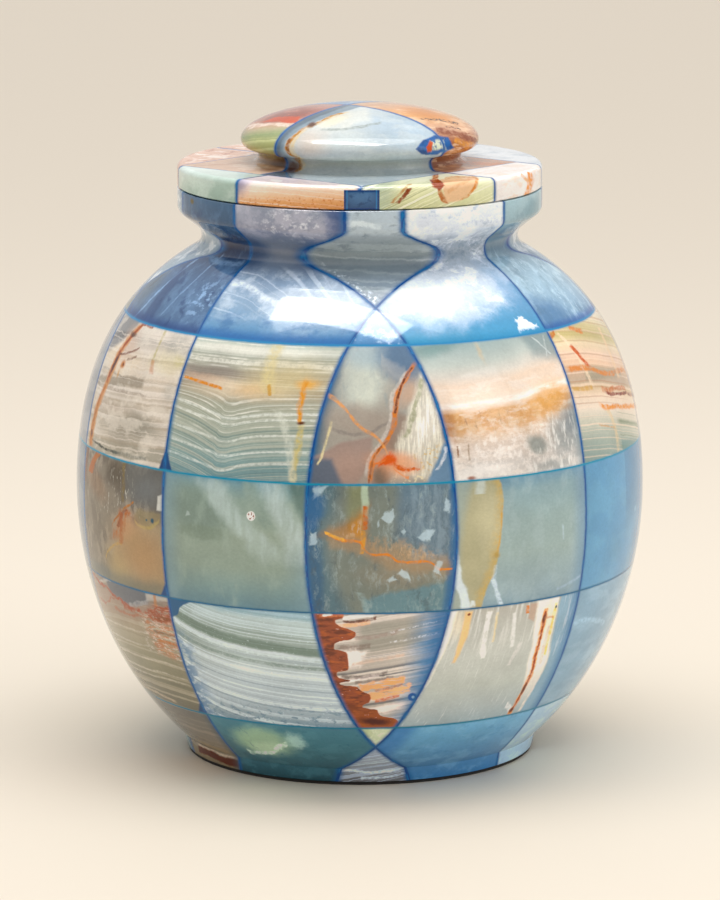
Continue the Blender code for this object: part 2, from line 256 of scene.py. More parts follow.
class Blank:
    """A turned solid whose faces remember which part of the outline they came from."""

    def __init__(self, section):
        self.section = np.array(section)
        along = np.diff(self.section, axis=0)
        self.length = np.linalg.norm(along, axis=1)
        normal = np.stack([along[:, 1], -along[:, 0]], axis=1) / self.length[:, None]
        bend = np.arccos(np.clip((normal[1:] * normal[:-1]).sum(axis=1), -1, 1))
        mean = normal[1:] + normal[:-1]
        mean /= np.linalg.norm(mean, axis=1)[:, None] + 1e-12
        soft = (bend < SHARP)[:, None]
        self.first = normal.copy()
        self.first[1:] = np.where(soft, mean, normal[1:])
        self.last = normal.copy()
        self.last[:-1] = np.where(soft, mean, normal[:-1])
        self.shape = self.turned()

    def turned(self):
        shape = bmesh.new()
        mark = shape.faces.layers.int.new("part")
        rings = []
        for radius, height in self.section:
            count = 1 if radius < ON_AXIS else SIDES
            rings.append([shape.verts.new((radius * math.cos(2 * math.pi * i / count),
                                           radius * math.sin(2 * math.pi * i / count), height))
                          for i in range(count)])
        for part, (low, high) in enumerate(zip(rings, rings[1:])):
            for i in range(SIDES):
                j = (i + 1) % SIDES
                corners = [low[i % len(low)], low[j % len(low)],
                           high[j % len(high)], high[i % len(high)]]
                unique = list(dict.fromkeys(corners))
                shape.faces.new(unique)[mark] = part + 1
        return shape

    def normals(self, mesh):
        """A normal for each face corner, exact on turned faces and flat on cut ones."""
        part = np.empty(len(mesh.polygons), np.int32)
        mesh.attributes["part"].data.foreach_get("value", part)
        totals = np.empty(len(mesh.polygons), np.int32)
        mesh.polygons.foreach_get("loop_total", totals)
        flat = np.empty(len(mesh.polygons) * 3, np.float32)
        mesh.polygons.foreach_get("normal", flat)
        flat = np.repeat(flat.reshape(-1, 3), totals, axis=0)
        part = np.repeat(part, totals)
        corner = np.empty(len(mesh.loops), np.int32)
        mesh.loops.foreach_get("vertex_index", corner)
        place = np.empty(len(mesh.vertices) * 3, np.float32)
        mesh.vertices.foreach_get("co", place)
        place = place.reshape(-1, 3)[corner] / MM
        index = np.clip(part - 1, 0, len(self.length) - 1)
        radius = np.hypot(place[:, 0], place[:, 1])
        point = np.stack([radius, place[:, 2]], axis=1)
        along = self.section[index + 1] - self.section[index]
        share = ((point - self.section[index]) * along).sum(axis=1) / self.length[index] ** 2
        share = np.clip(share, 0, 1)[:, None]
        mixed = self.first[index] * (1 - share) + self.last[index] * share
        mixed /= np.linalg.norm(mixed, axis=1)[:, None]
        around = place[:, :2] / np.maximum(radius, ON_AXIS)[:, None]
        exact = np.column_stack([around * mixed[:, :1], mixed[:, 1]])
        usable = (part > 0) & ((radius > NEAR_AXIS) | (np.abs(mixed[:, 0]) < NEARLY_UPRIGHT))
        return np.where(usable[:, None], exact, flat)


def keep_below(shape, normal, offset):
    """Cuts the solid square to the normal, drops what lies beyond and closes the cut."""
    everything = shape.verts[:] + shape.edges[:] + shape.faces[:]
    result = bmesh.ops.bisect_plane(shape, geom=everything, dist=CUT_SLACK,
                                    plane_co=normal * offset, plane_no=normal,
                                    clear_outer=True)
    rim = [e for e in result["geom_cut"] if isinstance(e, bmesh.types.BMEdge)]
    if rim:
        filled = bmesh.ops.triangle_fill(shape, edges=rim, normal=normal, use_beauty=True)
        mark = shape.faces.layers.int["part"]
        for face in filled["geom"]:
            if isinstance(face, bmesh.types.BMFace):
                face[mark] = 0


def keep_between(shape, normal, low, high):
    if high < FAR:
        keep_below(shape, normal, high)
    if low > -FAR:
        keep_below(shape, -normal, -low)


def block_of(shape, cell):
    """What the cell's limits along the right and left directions leave of the solid."""
    block = shape.copy()
    keep_between(block, RIGHT, *cell[0])
    keep_between(block, LEFT, *cell[1])
    return block


def solid_between(corners, hole, low, high):
    """An upright prism over the corners in plan, with a hole through it if one is given."""
    shape = bmesh.new()
    shape.faces.layers.int.new("part")
    rings = [[shape.verts.new((*corner, height)) for corner in outline]
             for outline in (corners, hole) if outline for height in (low, high)]
    count = len(corners)
    for i in range(count):
        j = (i + 1) % count
        for bottom, top in zip(rings[::2], rings[1::2]):
            shape.faces.new((bottom[i], bottom[j], top[j], top[i]))
        if hole:
            for outer, inner in ((rings[0], rings[2]), (rings[1], rings[3])):
                shape.faces.new((outer[i], outer[j], inner[j], inner[i]))
    if not hole:
        for ring in rings:
            shape.faces.new(ring)
    bmesh.ops.recalc_face_normals(shape, faces=shape.faces)
    return shape


def in_plan(right, left):
    """The point (x, y) at these distances along the two directions."""
    turn = math.sin(LEFT_AZIMUTH - RIGHT_AZIMUTH)
    return ((right * math.sin(LEFT_AZIMUTH) - left * math.sin(RIGHT_AZIMUTH)) / turn,
            (left * math.cos(RIGHT_AZIMUTH) - right * math.cos(LEFT_AZIMUTH)) / turn)


def rectangle(right, left):
    """Corners in plan of the block between these limits."""
    return [in_plan(right[0], left[0]), in_plan(right[1], left[0]),
            in_plan(right[1], left[1]), in_plan(right[0], left[1])]


def less(shape, cutter):
    """The solid without what the cutter holds."""
    objects = []
    for source in (shape, cutter):
        mesh = bpy.data.meshes.new("cut")
        source.to_mesh(mesh)
        objects.append(in_scene("cut", mesh))
    modifier = objects[0].modifiers.new("cut", "BOOLEAN")
    modifier.operation, modifier.solver, modifier.object = "DIFFERENCE", "EXACT", objects[1]
    depsgraph = bpy.context.evaluated_depsgraph_get()
    result = bmesh.new()
    result.from_mesh(objects[0].evaluated_get(depsgraph).data)
    for made in objects:
        bpy.data.meshes.remove(made.data)
    shape.free()
    return result


def piece_from(name, shape, blank, material, node):
    """The finished piece, in metres, standing for its solid."""
    bmesh.ops.recalc_face_normals(shape, faces=shape.faces)
    bmesh.ops.scale(shape, vec=(MM, MM, MM), verts=shape.verts)
    mesh = bpy.data.meshes.new(name)
    shape.to_mesh(mesh)
    shape.free()
    mesh.materials.append(material)
    mesh.shade_smooth()
    mesh.normals_split_custom_set(blank.normals(mesh).tolist())
    piece = in_scene(name, mesh)
    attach(piece, "root")
    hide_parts(node)


# Patterns of the stones

# Contrast added round the middle tone, and the lightest tone a stone may have
CONTRAST = 0.35
MIDDLE = 0.5
WHITEST = 0.93

# How far the wandering noise can push a place, in millimetres
WANDER = 2.6

# Veins narrower than this break up on their way
THIN_VEIN = 1.5

# A blob has no end in depth, and a level line still needs a span
ENDLESS = 1e6
LEAST_SPAN = 1e-3

# Roughness of the polish where it is best, and how much it varies
SMOOTHEST = 0.03
UNEVEN_POLISH = 0.06

# The resin's blues: the lines of upright joints, the stains beside them and the clearer places of
# all joints. The level joints have a blue each, from the lowest up.
JOINT_LINE = "#064c94"
JOINT_STAIN = "#0563a4"
JOINT_CLEAR = "#1a86c4"
SEAM_COLORS = ("#037a9e", "#03608c", "#0c93b8", "#0a85be")

# Half the line's width, how far the stain reaches and how strong it is
UPRIGHT_JOINT = (0.28, 1.9, 1.9)
LEVEL_JOINT = (0.19, 1.1, 1.7)


def new_material(name):
    """A material with its node tree and its shader."""
    material = bpy.data.materials.new(name)
    material.use_nodes = True
    return material, material.node_tree, material.node_tree.nodes["Principled BSDF"]


class Value:
    """A number or vector in a material's nodes, with arithmetic."""

    def __init__(self, look, socket):
        self.look, self.socket = look, socket

    def __add__(self, other):
        return self.look.math("ADD", self, other)

    def __sub__(self, other):
        return self.look.math("SUBTRACT", self, other)

    def __mul__(self, other):
        return self.look.math("MULTIPLY", self, other)

    def __truediv__(self, other):
        return self.look.math("DIVIDE", self, other)

    def __abs__(self):
        return self.look.math("ABSOLUTE", self)

    def flip(self):
        return self.look.math("SUBTRACT", 1.0, self)


class Look:
    """A stone's material. It starts plain, and each lay() puts a colour over the last.

    Places are (across, up) in millimetres on the stone's own face, and masks run 0 to 1.
    """

    def __init__(self, name, across, depth, up, base):
        self.material, self.tree, self.shader = new_material(name)
        self.seed = sum(ord(c) * (i + 3) for i, c in enumerate(name)) % 997
        self.kept = {}
        self.fillings = []
        place = Value(self, self.node("ShaderNodeTexCoord").outputs["Object"])
        place = self.vector("SCALE", place, scale=1 / MM)
        self.right = self.vector("DOT_PRODUCT", place, RIGHT, output="Value")
        self.left = self.vector("DOT_PRODUCT", place, LEFT, output="Value")
        self.a = self.vector("DOT_PRODUCT", place, across, output="Value")
        self.b = self.vector("DOT_PRODUCT", place, depth, output="Value")
        self.z = self.vector("DOT_PRODUCT", place, up, output="Value")
        self.level = self.split(place)[2]
        self.place = self.join(self.a, self.b, self.z)
        self.wander = self.vector("MULTIPLY_ADD", self.noise(8, 6, 0.68, color=True),
                                  (WANDER, 0, WANDER), third=(-WANDER / 2, 0, -WANDER / 2))
        self.drift = self.split(self.wander)[2]
        self.color = self.constant(base)

    def once(self, key, make):
        """What was made under this key before, or else is made now."""
        if key not in self.kept:
            self.kept[key] = make()
        return self.kept[key]

    # Nodes

    def node(self, kind, inputs=None, **settings):
        made = self.tree.nodes.new(kind)
        for key, value in settings.items():
            setattr(made, key, value)
        for key, value in (inputs or {}).items():
            if isinstance(value, Value):
                self.tree.links.new(value.socket, made.inputs[key])
            else:
                made.inputs[key].default_value = value
        return made

    def math(self, operation, *values):
        made = self.node("ShaderNodeMath", dict(enumerate(values)), operation=operation)
        return Value(self, made.outputs[0])

    def vector(self, operation, first, second=None, third=None, scale=None, output="Vector"):
        inputs = {0: first, 1: second, 2: third, "Scale": scale}
        inputs = {key: value for key, value in inputs.items() if value is not None}
        made = self.node("ShaderNodeVectorMath", inputs, operation=operation)
        return Value(self, made.outputs[output])

    def split(self, value):
        made = self.node("ShaderNodeSeparateXYZ", {0: value})
        return [Value(self, socket) for socket in made.outputs]

    def join(self, x, y, z):
        return Value(self, self.node("ShaderNodeCombineXYZ", {0: x, 1: y, 2: z}).outputs[0])

    def constant(self, text):
        made = self.node("ShaderNodeRGB")
        made.outputs[0].default_value = shade(text)
        return Value(self, made.outputs[0])

    def smooth(self, value, low, high):
        """0 to 1 as the value goes from low to high."""
        made = self.node("ShaderNodeMapRange", {"Value": value, "From Min": low,
                                                "From Max": high},
                         interpolation_type="SMOOTHSTEP")
        return Value(self, made.outputs[0])

    def mix(self, first, second, share):
        if isinstance(second, str):
            second = shade(second)
        made = self.node("ShaderNodeMix", {0: share, 6: first, 7: second}, data_type="RGBA")
        return Value(self, made.outputs[2])

    def ramp(self, value, *stops):
        """A colour for the value, from (position, colour) stops."""
        made = self.node("ShaderNodeValToRGB", {0: value})
        elements = made.color_ramp.elements
        while len(elements) < len(stops):
            elements.new(0.5)
        for element, (position, text) in zip(elements, stops):
            element.position = position
            element.color = shade(text)
        return Value(self, made.outputs[0])

    def noise(self, size, detail=3, rough=0.5, turn=0, seed=0, color=False, warp=0):
        """Noise of this grain in millimetres, or of three grains along the turned axes."""
        sizes = size if isinstance(size, tuple) else (size, size, size)
        seed = self.seed * 0.731 + seed * 17.3
        mapped = self.node("ShaderNodeMapping", {
            "Vector": self.moved(warp), "Location": (seed, seed * 1.7 + 3, seed * 0.6 + 9),
            "Rotation": (0, math.radians(turn), 0), "Scale": tuple(1 / s for s in sizes)})
        made = self.node("ShaderNodeTexNoise", {"Vector": Value(self, mapped.outputs[0]),
                                                "Scale": 1.0, "Detail": detail,
                                                "Roughness": rough})
        return Value(self, made.outputs["Color" if color else "Fac"])

    # Places

    def moved(self, warp):
        """The place, pushed about by up to this many millimetres or so."""
        if not warp:
            return self.place
        return self.once(warp, lambda: self.vector("MULTIPLY_ADD", self.wander,
                                                   (warp, warp, warp), third=self.place))

    def moved_parts(self, warp):
        """The two parts of the moved place that lie in the face."""
        if not warp:
            return self.a, self.z
        parts = self.once(("parts", warp), lambda: self.split(self.moved(warp)))
        return parts[0], parts[2]

    def curve(self, value, points):
        """A smooth function of the value through (from, to) points."""
        low, high = points[0][0], points[-1][0]
        least = min(p[1] for p in points)
        span = max(max(p[1] for p in points) - least, LEAST_SPAN)
        share = self.math("MULTIPLY_ADD", value, 1 / (high - low), -low / (high - low))
        made = self.node("ShaderNodeFloatCurve", {"Value": share})
        line = made.mapping.curves[0].points
        while len(line) < len(points):
            line.new(0.5, 0.5)
        for spot, (x, y) in zip(line, points):
            spot.location = ((x - low) / (high - low), (y - least) / span)
        made.mapping.update()
        return self.math("MULTIPLY_ADD", Value(self, made.outputs[0]), span, least)

    def offset(self, points, warp=0):
        """Distance from a line of (across, up) points, and place along it.

        The distance is up from a lying line and across from a standing one.
        """
        a, z = self.moved_parts(warp)
        wide = abs(points[-1][0] - points[0][0])
        tall = abs(points[-1][1] - points[0][1])
        if wide >= tall:
            points = sorted(points)
            return z - self.curve(a, points), a, points[0][0], points[-1][0]
        points = sorted((up, across) for across, up in points)
        return a - self.curve(z, points), z, points[0][0], points[-1][0]

    # Masks

    def beyond(self, points, soft=1.0, warp=0.5):
        """Above a lying line, or right of a standing one."""
        return self.smooth(self.offset(points, warp)[0], -soft, soft)

    def vein(self, points, width=0.5, soft=0.5, warp=0.8, fade=0.06, uneven=0.6, seed=0):
        """Near the line, thick and thin in turn, fading out at its two ends."""
        distance, along, start, end = self.offset(points, warp)
        swell = self.once(("swell", seed % 2, uneven), lambda: self.math(
            "MULTIPLY_ADD", self.noise(4, 2, seed=seed % 2), 2 * uneven, 1 - uneven))
        mask = self.smooth(abs(distance) / swell, width / 2 + soft, width / 2)
        if width < THIN_VEIN:
            mask = mask * self.once("broken", lambda: self.math(
                "MULTIPLY_ADD", self.cloud(1.7, 0.36, 0.58, seed=31), 0.55, 0.45))
        if fade:
            half = (end - start) / 2
            middle = abs(along - (start + end) / 2)
            mask = mask * self.smooth(middle, half, half * (1 - 2 * fade))
        return mask

    def blob(self, center, radii, turn=0, soft=0.3, warp=1.5):
        """Inside an ellipse with a wandering edge."""
        mapped = self.node("ShaderNodeMapping", {
            "Vector": self.moved(warp), "Location": (center[0], 0, center[1]),
            "Rotation": (0, math.radians(-turn), 0), "Scale": (radii[0], ENDLESS, radii[1])},
            vector_type="TEXTURE")
        reach = self.vector("LENGTH", Value(self, mapped.outputs[0]), output="Value")
        return self.smooth(reach, 1 + soft, 1 - soft)

    def cloud(self, size, low=0.45, high=0.6, detail=4, rough=0.55, turn=0, seed=0, warp=0):
        """Drifting patches."""
        return self.smooth(self.noise(size, detail, rough, turn, seed, warp=warp), low, high)

    def patch(self, corners, soft=1.0, warp=1.0):
        """Inside a shape with straight sides that bulges all round."""
        place = self.moved(warp)
        middle = [sum(p[axis] for p in corners) / len(corners) for axis in range(2)]
        inside = None
        for (a, z), (next_a, next_z) in zip(corners, corners[1:] + corners[:1]):
            length = math.hypot(next_a - a, next_z - z)
            square = ((z - next_z) / length, (next_a - a) / length)
            if square[0] * (middle[0] - a) + square[1] * (middle[1] - z) < 0:
                square = (-square[0], -square[1])
            distance = self.vector("DOT_PRODUCT", place, (square[0], 0, square[1]),
                                   output="Value") - (square[0] * a + square[1] * z)
            inside = distance if inside is None else self.math("MINIMUM", inside, distance)
        return self.smooth(inside, -soft, soft)

    def layers(self, size, turn=0, height=None, detail=3, rough=0.5, warp=0.6, seed=0):
        """Bands square to the turned up direction, or at this height, as a number near 0.5."""
        if height is None:
            turned = math.radians(turn)
            height = self.vector("DOT_PRODUCT", self.moved(warp),
                                 (-math.sin(turned), 0, math.cos(turned)), output="Value")
        else:
            height = self.math("MULTIPLY_ADD", self.drift, warp, height)
        place = self.math("MULTIPLY_ADD", height, 1 / size, self.seed * 0.37 + seed * 5.1)
        made = self.node("ShaderNodeTexNoise", {
            "W": place, "Scale": 1.0, "Detail": detail, "Roughness": rough},
            noise_dimensions="1D")
        return Value(self, made.outputs["Fac"])

    def band(self, size, low=0.5, high=0.6, **more):
        """The stronger of the layers."""
        return self.smooth(self.layers(size, **more), low, high)

    # Colours

    def ramp_on(self, height, *stops):
        """Starts from colours by height, given as (height, colour)."""
        low, high = stops[0][0], stops[-1][0]
        share = self.math("MULTIPLY_ADD", height, 1 / (high - low), -low / (high - low))
        self.color = self.ramp(share, *(((z - low) / (high - low), text) for z, text in stops))

    def grade(self, *stops):
        """Starts from colours by height up the face, with an uneven edge."""
        self.ramp_on(self.moved_parts(1.0)[1], *stops)

    def lay(self, color, mask):
        """Puts a colour over the last, as strongly as the mask is."""
        self.color = self.mix(self.color, color, mask)

    def resin(self, color, mask):
        """Resin where a corner of the stone has broken away."""
        self.fillings.append((color, mask))

    def grain(self, tone_and_shade):
        """The stone's tone, its cloudy depth and its fine crystals. The tone is partly the stone's
        own and partly painted shade, lower on the stones towards the left where less light falls.
        """
        depth = self.math("MULTIPLY_ADD", self.noise((16, 16, 12), 2, 0.5, seed=21), 0.3, 0.85)
        fine = self.math("MULTIPLY_ADD", self.noise((1.1, 2.5, 0.9), 4, 0.7, seed=22), 0.26, 0.87)
        light = self.vector("SCALE", self.color, scale=depth * fine)
        bright = Value(self, self.node("ShaderNodeRGBToBW", {0: light}).outputs[0])
        gain = self.math("POWER", bright / MIDDLE, CONTRAST)
        toned = self.vector("MULTIPLY", self.vector("SCALE", light, scale=gain), tone_and_shade)
        self.color = self.vector("MINIMUM", toned, (WHITEST, WHITEST, WHITEST))
        return self

    def seams(self, cell, levels):
        """The blue resin of the joints round the stone, and the blue that soaked in."""
        ragged = self.noise(1.6, 3, 0.6, seed=7) + 0.5
        soak = self.noise(6, 4, 0.65, seed=8)
        for color, mask in self.fillings:
            self.lay(color, mask)
        upright = None
        for coordinate, limits in ((self.right, cell[0]), (self.left, cell[1])):
            for limit in limits:
                if abs(limit) < FAR:
                    distance = abs(coordinate - limit)
                    upright = distance if upright is None else \
                        self.math("MINIMUM", upright, distance)
        if upright is not None:
            self.seam(upright, ragged, soak, JOINT_LINE, JOINT_STAIN, *UPRIGHT_JOINT)
        for limit, color in levels:
            self.seam(abs(self.level - limit), ragged, soak, color, color, *LEVEL_JOINT)
        return self

    def seam(self, distance, ragged, soak, line, stain, half, reach, strength):
        """One joint: a ragged line, clearer in places, with a stain that fades beside it."""
        near = self.smooth(distance, reach, 0)
        self.color = self.mix(self.color, stain, near * near * soak * strength)
        core = self.smooth(distance / ragged, half * 1.35, half * 0.7)
        clear = self.smooth(soak, 0.5, 0.62) * 0.6
        self.color = self.mix(self.color, self.mix(self.constant(line), JOINT_CLEAR, clear), core)

    def done(self):
        """Joins the colour and the polish, a little uneven, to the shader."""
        self.tree.links.new(self.color.socket, self.shader.inputs["Base Color"])
        gloss = self.math("MULTIPLY_ADD", self.noise(14, 3, seed=11), UNEVEN_POLISH, SMOOTHEST)
        self.tree.links.new(gloss.socket, self.shader.inputs["Roughness"])
        return self.material


# The directions across, into and up each kind of face. The lid's leans back from the camera's side.
LID_LEAN = math.radians(11.0)
FACES = {
    "left": (RIGHT, LEFT, UP), "right": (-LEFT, RIGHT, UP),
    "front": (ACROSS, -BACK, UP),
    "lid": (ACROSS, Vector((0, -math.cos(LID_LEAN), math.sin(LID_LEAN))),
            Vector((0, math.sin(LID_LEAN), math.cos(LID_LEAN)))),
}


# The stones, each from its colours and the lines and patches seen on it

STONES = {}


# Each stone's tone scales its colours. On the stones towards the left it is lower, and there it is
# painted shade as well as the stone's own tone.
def stone(face, base, tone_and_shade=(1.08, 1.08, 1.08)):
    """Registers the painting of one stone under its function's name."""
    def register(paint):
        STONES[paint.__name__] = (face, base, tone_and_shade, paint)
        return paint
    return register


# Upper course

@stone("left", "#a7ad9d", (1.0, 1.01, 1.02))
def upper_front_left(s):
    s.grade((115, "#77a0a8"), (121, "#8faeae"), (130, "#a3b0a3"), (139, "#adaf9b"),
            (144, "#b0a48d"), (149, "#9d9488"), (152, "#b0ae9d"), (156, "#a2a99b"),
            (160, "#a9c0bb"))
    dip = s.curve(s.a, [(0, 3.4), (10, 1.4), (20, -2.2), (23, -3.4), (27, -2.6), (35, -0.8),
                        (54, 0.8)])
    height = s.z - dip * s.smooth(s.z, 148, 137)
    veil = s.layers(2.2, height=height, detail=5, rough=0.7, warp=0.25, seed=9)
    s.lay("#c9cabb", s.smooth(veil, 0.44, 0.66) * 0.6)
    thin = s.band(1.1, 0.56, 0.68, height=height, detail=3, rough=0.55, warp=0.15, seed=3)
    broken = s.cloud((9, 9, 3), 0.4, 0.62, detail=3, seed=13)
    s.lay("#eceae0", thin * broken * s.smooth(s.z, 126, 136) * 0.65)
    fine = s.band(0.55, 0.54, 0.68, height=height, detail=4, rough=0.6, warp=0.15, seed=14)
    s.lay("#e3e8e0", fine * s.smooth(s.z, 117, 121) * 0.4)
    s.lay("#6f8f92", s.band(1.0, 0.58, 0.7, height=height, detail=4, warp=0.15, seed=17)
          * s.smooth(s.z, 140, 134) * 0.35)
    for top, edge, low in ((139.5, 135, 137.5), (137, 133, 135.6), (131.5, 127.4, 130.4),
                           (126.6, 122.6, 125), (122, 117.6, 121)):
        line = s.vein([(0, top), (10, top - 1.6), (20, edge + 0.7), (23, edge), (30, low - 1.4),
                       (40, low), (54, low + 0.4)], 0.3, 0.55, warp=0.2, fade=0.01,
                      seed=int(top))
        s.lay("#e9ece6", line * 0.55)
    s.lay("#e9e7db", s.blob((22, 157), (34, 1.5), soft=0.7, warp=0.5) * 0.75)
    s.lay("#e6e4d8", s.vein([(0, 153.6), (16, 153), (30, 153.4), (53, 152.6)], 0.7, 0.8,
                            warp=0.5, fade=0.02) * 0.7)
    s.lay("#9b8f83", s.blob((12, 149), (16, 2), soft=0.7, warp=0.5) * 0.7)
    s.lay("#d9b59a", s.blob((11, 147), (9, 1.3), turn=-5, soft=0.8) * 0.7)
    s.lay("#e9d6b8", s.blob((23, 144.5), (16, 2.8), soft=0.8, warp=0.8) * 0.7)
    s.lay("#dcb27c", s.blob((30, 145), (6, 2.2), soft=0.9) * 0.6)
    s.lay("#d8c489", s.blob((40, 149), (12, 5), soft=0.9) * 0.65)
    s.lay("#dccb8c", s.vein([(32.4, 161), (33.2, 152), (35.8, 143.5)], 1.2, 2.6, warp=1.2) * 0.6)
    s.lay("#d6a13a", s.vein([(34.6, 147), (36, 143.2)], 0.5, 0.7) * 0.9)
    s.lay("#eeac30", s.blob((46.6, 147.8), (2.8, 1.5), soft=0.9) * 0.85)
    s.lay("#ea9a14", s.vein([(46, 149.5), (46.2, 144), (46.6, 139), (48.2, 134.5)], 0.6, 1.0,
                            warp=1.2))
    s.lay("#d3c070", s.vein([(48.2, 135), (48.6, 127), (48.4, 120), (49, 114)], 0.9, 1.2) * 0.8)
    s.lay("#7d3f10", s.blob((48.1, 135), (1.1, 0.5), soft=0.7, warp=0.8))
    s.lay("#d9dccf", s.vein([(39.5, 139.5), (44, 132), (47, 123), (48.6, 115)], 0.9, 1.4) * 0.6)
    s.lay("#ee9414", s.vein([(1, 146.7), (10, 145.7), (19, 144.3)], 0.5, 0.5, warp=0.3,
                            uneven=0.3))
    s.lay("#5f8fae", s.smooth(s.a, 2.6, 0.4) * s.smooth(s.z, 150, 125) * 0.8)
    s.resin("#0b4680", s.patch([(-1, 114), (4, 114), (0.8, 121), (-1, 121)], 0.5, 0.5))


@stone("left", "#e3dccf", (0.77, 0.72, 0.68))
def upper_left_front(s):
    s.grade((114, "#bcbdb2"), (121, "#c6c5b9"), (130, "#d8d2c5"), (139, "#dbd3c5"),
            (147, "#ede4d4"), (154, "#dcd9d2"), (161, "#c5c8c8"))
    s.lay("#f1eee8", s.band(5, 0.42, 0.6, turn=3, detail=4, warp=0.8) * 0.8)
    s.lay("#c9bda9", s.band(2.4, 0.55, 0.68, turn=3, detail=3, warp=0.5, seed=2) * 0.55)
    s.lay("#f5ead2", s.blob((-40, 147), (14, 5), soft=0.6) * 0.7)
    s.lay("#a3a8ae", s.beyond([(-54, 147), (-44, 151), (-38, 156), (-34, 161)], 1.6, 0.8))
    s.lay("#7b7a7c", s.vein([(-53, 152), (-45, 154), (-38, 155.4)], 0.8, 0.8) * 0.7)
    s.lay("#e6d2c4", s.blob((-35, 152), (6, 5.5), turn=40, soft=0.6) * 0.8)
    s.lay("#b4ac9b", s.vein([(-54, 137.5), (-40, 139.3), (-28, 141.2), (-17, 142)], 2.0, 1.2) * 0.8)
    s.lay("#9d958a", s.vein([(-53, 141.5), (-43, 142.4), (-30, 141.5)], 0.3, 0.5) * 0.5)
    s.lay("#b9ab9b", s.vein([(-53, 136), (-44, 137), (-30, 137.5), (-14, 138)], 0.6, 0.6) * 0.6)
    s.lay("#b8b3a2", s.blob((-24, 124.6), (14.5, 6.6), soft=0.6, warp=2.4) * 0.7)
    s.lay("#a5a69b", s.blob((-15, 128), (9, 3.4), soft=0.6) * 0.5)
    s.lay("#c3b39f", s.blob((-38, 131.5), (14, 1.6), soft=0.6) * 0.5)
    s.lay("#b1bab9", s.blob((-6, 156), (6, 3.6), soft=0.8, warp=2) * 0.45)
    s.lay("#b7bcb7", s.blob((-3.6, 141), (3.2, 2.8), soft=0.8, warp=2) * 0.4)
    s.lay("#e2dda4", s.blob((-3, 151), (3, 1.6), soft=0.7) * 0.6)
    s.lay("#f8f5ef", s.band(1.1, 0.55, 0.68, turn=3, detail=4, warp=1.1, seed=6) * 0.45)
    s.lay("#f4f2ea", s.cloud((10, 9, 5), 0.46, 0.62, detail=6, rough=0.62, seed=21, warp=2) * 0.55)
    s.lay("#e9e6b4", s.blob((-8, 150), (8, 3.4), soft=0.8, warp=2) * 0.4)
    s.lay("#566560", s.vein([(-50, 118.6), (-43, 117.6), (-34, 117), (-24, 117)], 0.45, 0.4))
    s.lay("#8b958f", s.vein([(-30, 116.8), (-18, 117.2), (-9, 117.4)], 0.6, 0.7) * 0.6)
    s.lay("#eda24a", s.vein([(-31, 161), (-35, 156.5), (-40, 149), (-41.5, 144), (-43, 138),
                             (-46.5, 130), (-48.3, 121), (-48, 114)], 1.5, 2.2, warp=1.0) * 0.9)
    s.lay("#d05a14", s.vein([(-31, 160.5), (-35.5, 156), (-40.2, 148.5), (-42, 143),
                             (-43.2, 138)], 0.8, 0.8, warp=1.2))
    s.lay("#db8424", s.vein([(-43, 138), (-46.8, 130), (-48.6, 121), (-48, 115)], 0.8, 0.9))
    s.lay("#7d2f12", s.blob((-41, 145), (0.9, 3.4), turn=-20, soft=0.5, warp=0.6) * 0.9)
    s.lay("#8f3c18", s.blob((-48.4, 120), (0.9, 1.2), soft=0.6, warp=0.5) * 0.8)
    s.lay("#6f4a3d", s.blob((-35.4, 156), (2.2, 0.8), soft=0.7) * 0.8)
    s.lay("#93502f", s.vein([(-40, 148.3), (-33, 149.8), (-27, 152.6)], 0.3, 0.45) * 0.8)
    s.lay("#9b7560", s.vein([(-33, 147.5), (-30, 148.3), (-27, 149.6)], 0.3, 0.45) * 0.7)
    s.lay("#e08a26", s.blob((-34.7, 145.8), (1.5, 1.1), turn=20, soft=0.7, warp=0.6))
    s.lay("#8e3f14", s.blob((-34.3, 145.8), (0.5, 0.5), soft=0.6, warp=0.4) * 0.9)
    s.lay("#e6b06a", s.blob((-36, 142.6), (0.6, 1.4), soft=0.9) * 0.7)
    s.lay("#cfc98f", s.vein([(-16.3, 161), (-16.5, 154), (-16.3, 148)], 0.4, 0.9) * 0.7)
    s.lay("#e5a984", s.vein([(-16.4, 150), (-15.3, 145)], 0.8, 1.0) * 0.6)
    s.lay("#c9702c", s.vein([(-33, 160), (-28, 159.8), (-24, 159.9)], 1.0, 0.6))
    s.resin("#0b3f78", s.patch([(-3, 114), (1, 114), (1, 121), (-0.6, 121)], 0.5, 0.5))


